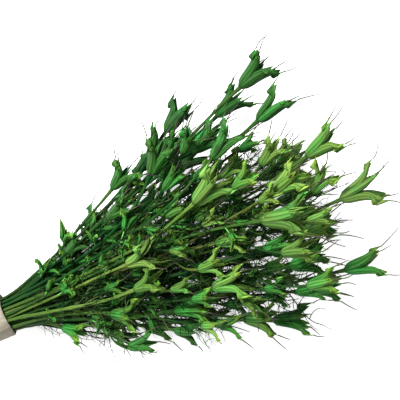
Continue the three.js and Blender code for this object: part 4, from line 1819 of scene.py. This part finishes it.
# %% Jute
jute, tree, shader = new_paint("jute_fibre", 0.85)
spot = object_place(tree)
hair = noise(tree, spot, 900.0, 4.0)
cloud = noise(tree, spot, 120.0)
tone = mix(tree, cloud, srgb(150, 118, 74), srgb(196, 168, 120))
tone = mix(tree, 0.6 * ramp(tree, hair, (0.45, 0.62)), tone, srgb(112, 84, 50))
feed(tree, shader, "Base Color", tone)
feed(tree, shader, "Roughness", 0.75 + 0.2 * hair)
bump(tree, shader, hair, 0.6, 0.0003)
print(jute.name, len(tree.nodes), "nodes")

# %% [markdown]
# The path of the twine: the turns are a screw line, the knot is a small pretzel on top,
# and the two tails run down the sleeve to either side. A knot tied point by point would
# be truer, but at this size the pretzel reads as one.

# %% The turns, the knot and the tails
TWINE_TURNS = 4
TURN_POINTS = 48
TWINE_PATH_RADIUS = 19.75
TWINE_PITCH = 2.05
KNOT_RISE = 1.9
KNOT_POINTS = 40
TAIL_POINTS = 12
PLY_RADIUS = 0.00056
TURN_LENGTH = 0.0062
TWINE_STEP = 0.0008


def twine_paths():
    """The turns, the knot and the two tails, in layout millimetres."""
    turn = np.linspace(0, TWINE_TURNS, TWINE_TURNS * TURN_POINTS + 1)
    angle = (0.25 + turn) * 2 * np.pi
    x = TWINE_POSITION + (turn - TWINE_TURNS / 2) * TWINE_PITCH
    y = TWINE_PATH_RADIUS * np.cos(angle)
    z = TIE_HEIGHT + TWINE_PATH_RADIUS * np.sin(angle)
    screw = np.stack([x, y, z], 1)
    top = np.array([TWINE_POSITION, 0, TIE_HEIGHT + TWINE_PATH_RADIUS + KNOT_RISE])
    t = np.linspace(0, 2 * np.pi, KNOT_POINTS)
    loops = 3.0 * np.cos(t) * np.sin(t + 0.2)
    knot = top + np.stack([2.3 * np.sin(t + 0.4), loops, 1.1 * np.cos(2 * t)], 1)
    s = np.linspace(0, 1, TAIL_POINTS)[:, None]
    droop = 0.8 + 1.5 * s - 9 * s**2
    tails = []
    for side in (-1, 1):
        ahead = 4 * s + 1.5 * side * s**2
        tails.append(top + np.hstack([ahead, side * (2 + 15 * s), droop]))
    return [screw, knot, *tails]


paths = bpy.data.curves.new("twine_paths", "CURVE")
paths.dimensions = "3D"
for path in twine_paths():
    add_spline(paths, to_frame(path), np.ones(len(path)))
path_object = put("twine_paths", paths)
values = {
    "Path": path_object,
    "Ply radius": PLY_RADIUS,
    "Turn length": TURN_LENGTH,
    "Step": TWINE_STEP,
    "Skin": jute,
}
twine = grown("jute_twine", bpy.data.meshes.new("nothing"), twine_tree, values)
bpy.data.objects.remove(path_object)
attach(twine, "root")
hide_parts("twine")
print("twine:", triangles(twine), "triangles")

# %% [markdown]
# ## The table
#
# A plain pale surface lies under the bunch. It glows a little, as a light table does, so
# that the bunch throws next to no shadow. Leaving the table out would do that too, but
# then no light would come back from below. It is part of the stage and not of the object.

# %% Table
TABLE_HALF_SIDE = 3.0
TABLE_GAP = 0.0005
TABLE_GLOW = 0.7
table_mesh = bpy.data.meshes.new("table")
table_top = cad_low.z - TABLE_GAP
signs = [(-1, -1), (1, -1), (1, 1), (-1, 1)]
corners = [(x * TABLE_HALF_SIDE, y * TABLE_HALF_SIDE, table_top) for x, y in signs]
table_mesh.from_pydata(corners, [], [(0, 1, 2, 3)])
table = put("table", table_mesh)
table_paint, tree, shader = new_paint("pale_table", 0.8, Emission_Strength=TABLE_GLOW)
mottle = noise(tree, object_place(tree), 2.0)
tone = mix(tree, mottle, srgb(236, 236, 236), srgb(242, 242, 242))
feed(tree, shader, "Base Color", tone)
shader.inputs["Emission Color"].default_value = (1, 1, 1, 1)
table_mesh.materials.append(table_paint)
table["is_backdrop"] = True
print("the table is", 2 * TABLE_HALF_SIDE, "m wide")

# %% [markdown]
# The sizes of the CAD model and of this one are printed side by side. The looks may not
# change the object's dimensions.

# %% Sizes and the end
new_low, new_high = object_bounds()
before = [round((a - b) * 1000, 1) for a, b in zip(cad_low, new_low)]
after = [round((b - a) * 1000, 1) for a, b in zip(cad_high, new_high)]
print("beyond the CAD box, mm:", before, after)
